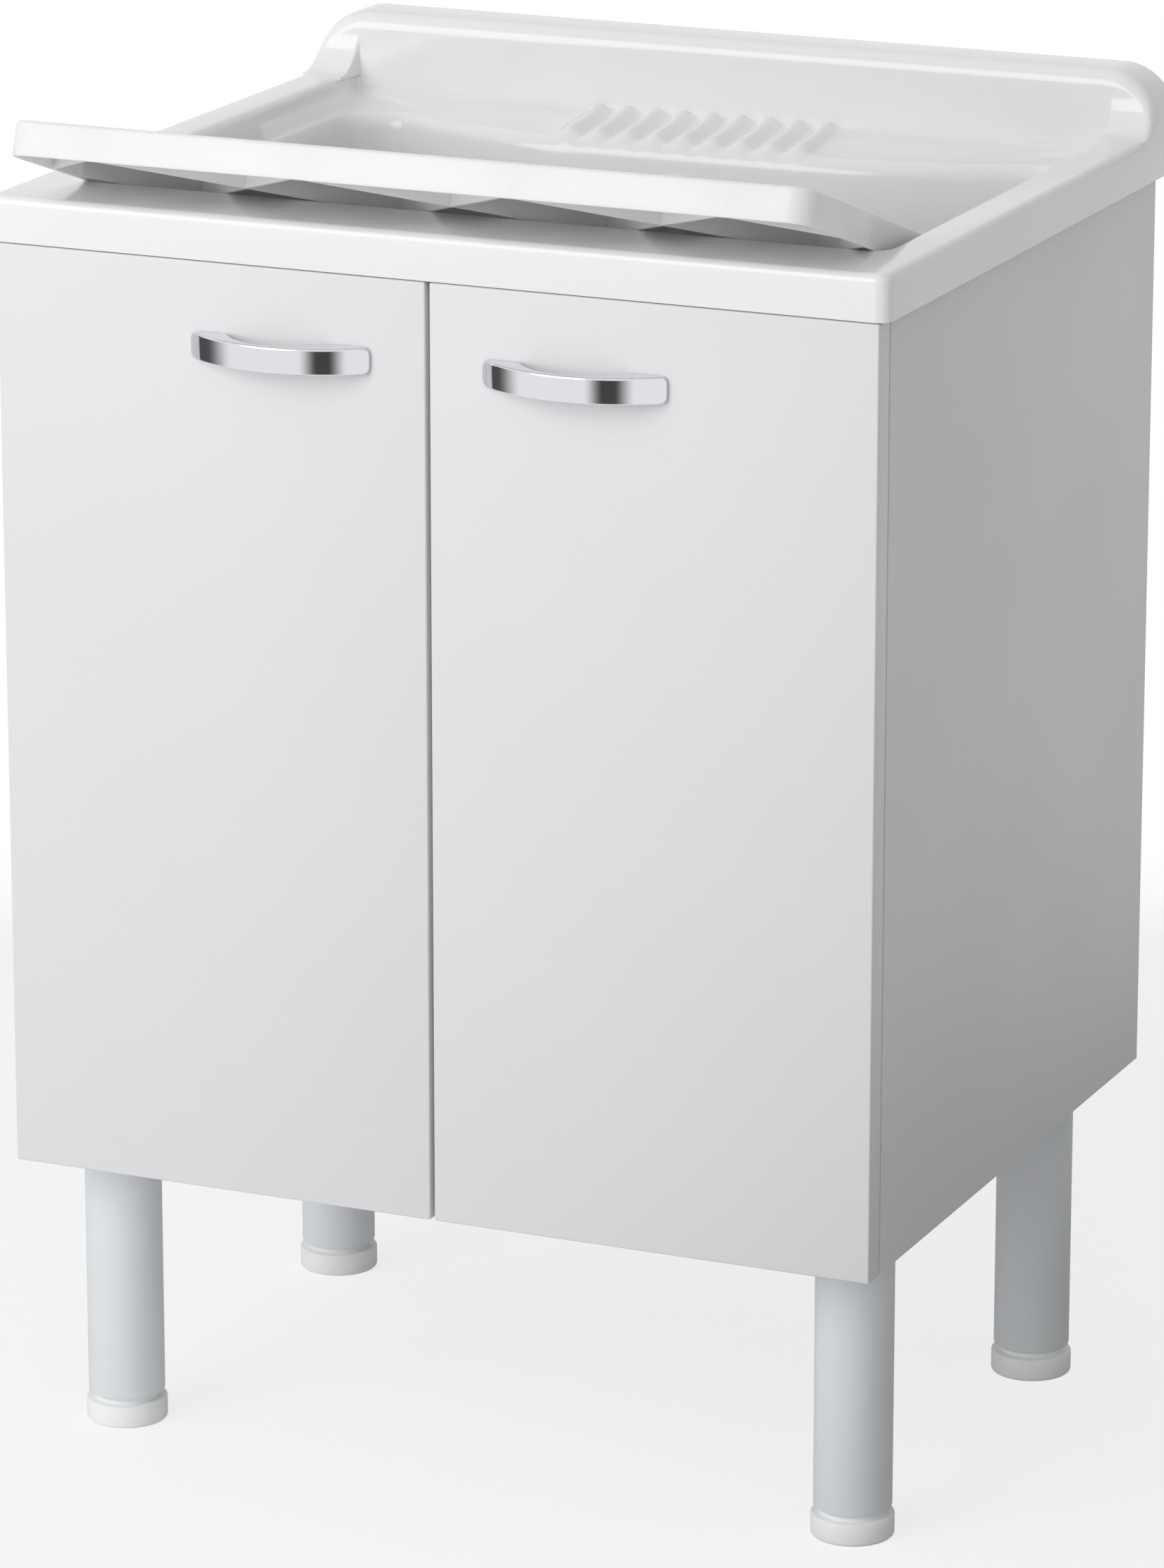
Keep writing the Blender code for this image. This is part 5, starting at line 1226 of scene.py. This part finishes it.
def floor_material(s):
    """Matt paper: bright to the eye, greyer in what it throws back and darker there to the right with painted
    shade for the object's shadow, fading into the white beyond.
    """
    made, tree = stage_material("paper_matt_pale")
    path = add(tree, "ShaderNodeLightPath")
    place = add(tree, "ShaderNodeTexCoord").outputs["Object"]
    across = add(tree, "ShaderNodeSeparateXYZ", {0: place})
    # painted shade: the bounce colour darkens towards +X, where the object's shadow lies on the floor
    painted_shade = fade(tree, across.outputs["X"], PAINTED_SHADE_FADE, PAINTED_SHADE_SHARE)
    bounce = add(tree, "ShaderNodeMix", {0: painted_shade, 6: (*s.bounce, 1.0), 7: (0.0, 0.0, 0.0, 1.0)},
                 data_type="RGBA")
    tone = add(tree, "ShaderNodeMix", {0: path.outputs["Is Diffuse Ray"], 6: (*s.floor, 1.0),
                                       7: bounce.outputs[2]}, data_type="RGBA")
    matt = add(tree, "ShaderNodeBsdfDiffuse", {"Color": tone.outputs[2]})
    away = add(tree, "ShaderNodeVectorMath", {0: place}, operation="LENGTH")
    veil = add(tree, "ShaderNodeMath", {0: path.outputs["Is Camera Ray"], 1: s.veil}, operation="MULTIPLY")
    gone = fade(tree, away.outputs["Value"], FLOOR_FADE)
    share = add(tree, "ShaderNodeMath", {0: gone, 1: veil.outputs[0]}, operation="MAXIMUM")
    see_through(tree, share.outputs[0], matt)
    return made


def set_world(scene, s):
    """Soft fill, strongest from the front left; the eye and reflections see plain white."""
    scene.world = bpy.data.worlds.new("studio")
    scene.world.use_nodes = True
    tree = scene.world.node_tree
    path = add(tree, "ShaderNodeLightPath").outputs
    seen = add(tree, "ShaderNodeMath", {0: path["Is Camera Ray"], 1: path["Is Glossy Ray"]}, operation="ADD")
    seen = add(tree, "ShaderNodeMath", {0: seen.outputs[0], 1: path["Is Transmission Ray"]}, operation="ADD",
               use_clamp=True)
    place = add(tree, "ShaderNodeTexCoord").outputs["Generated"]
    facing = add(tree, "ShaderNodeVectorMath", {0: place, 1: FILL_FROM}, operation="DOT_PRODUCT")
    strength = add(tree, "ShaderNodeMapRange", {"Value": facing.outputs["Value"], "From Min": -1.0,
                                                "To Min": s.fill_back, "To Max": s.fill})
    soft = add(tree, "ShaderNodeBackground", {"Color": (*s.sky, 1.0), "Strength": strength.outputs[0]})
    white = add(tree, "ShaderNodeBackground", {"Color": (1.0, 1.0, 1.0, 1.0)})
    both = add(tree, "ShaderNodeMixShader", {0: seen.outputs[0], 1: soft.outputs[0], 2: white.outputs[0]})
    tree.links.new(both.outputs[0], tree.nodes["World Output"].inputs["Surface"])


def set_lights(s):
    """The two soft lamps."""
    for name, power, size, place in (("key", s.key, KEY_SIZE, KEY_AT), ("top", s.top, TOP_SIZE, TOP_AT)):
        lamp = bpy.data.lights.new(name, "AREA")
        lamp.shape = "DISK"
        lamp.size = size
        lamp.energy = power
        made = linked(name, lamp)
        made.location = place
        made.rotation_euler = (LAMP_AIM - place).to_track_quat("-Z", "Y").to_euler()


def sheet(name, corners, material):
    """A single face."""
    made = linked(name, solid(corners, [(0, 1, 2, 3)]))
    made.data.materials.append(material)
    return made


def set_cards(s):
    """The dark cards, upright on the floor."""
    felt = card_material(s)
    for name, start, end, height in CARDS:
        run = end - start
        half = run.length / 2
        card = sheet(name, [(-half, 0, 0), (half, 0, 0), (half, 0, height), (-half, 0, height)], felt)
        card.location = (*((start + end) / 2), 0)
        card.rotation_euler.z = math.atan2(run.y, run.x)
        card.visible_camera = False
        card.visible_diffuse = False
        card.visible_shadow = False


class SINK_OT_stage(bpy.types.Operator):
    """Set the pale floor, soft studio light and camera"""
    bl_idname = "sink.stage"
    bl_label = "Stage"

    def execute(self, context):
        scene = context.scene
        s = scene.sink_stage
        camera = linked("camera", bpy.data.cameras.new("camera"))
        camera.data.lens = LENS
        camera.data.clip_end = 50
        camera.location = EYE
        camera.rotation_euler = LOOK.to_track_quat("-Z", "Y").to_euler()
        scene.camera = camera
        scene.view_settings.view_transform = "Standard"
        set_lights(s)
        set_world(scene, s)
        edge = FLOOR_HALF
        floor = sheet("floor", [(-edge, -edge, 0), (edge, -edge, 0), (edge, edge, 0), (-edge, edge, 0)],
                      floor_material(s))
        set_cards(s)
        return {"FINISHED"}


class SINK_PT_panel(bpy.types.Panel):
    """Lists the pieces and their settings"""
    bl_label = "Laundry sink"
    bl_space_type = "VIEW_3D"
    bl_region_type = "UI"
    bl_category = "Laundry sink"

    def draw(self, context):
        for step in STEPS:
            self.layout.operator("sink." + step)
        for group in GROUPS:
            box = self.layout.box()
            for key in GROUPS[group].__annotations__:
                box.prop(getattr(context.scene, group), key)


GROUPS = {"sink_basin": BasinSizes, "sink_board": BoardSizes, "sink_finishes": Finishes,
          "sink_stage": StageSettings}
STEPS = ("basin", "washboard", "carcass", "doors", "handles", "hinges", "legs", "waste", "overflow", "stage")
CLASSES = (*GROUPS.values(), SINK_OT_basin, SINK_OT_washboard, SINK_OT_carcass, SINK_OT_doors,
           SINK_OT_handles, SINK_OT_hinges, SINK_OT_legs, SINK_OT_waste, SINK_OT_overflow, SINK_OT_stage,
           SINK_PT_panel)


def register():
    for kind in CLASSES:
        bpy.utils.register_class(kind)
    for name, group in GROUPS.items():
        setattr(bpy.types.Scene, name, bpy.props.PointerProperty(type=group))


def unregister():
    for name in GROUPS:
        delattr(bpy.types.Scene, name)
    for kind in reversed(CLASSES):
        bpy.utils.unregister_class(kind)


def main():
    register()
    for step in STEPS:
        getattr(bpy.ops.sink, step)()


if __name__ == "__main__":
    main()
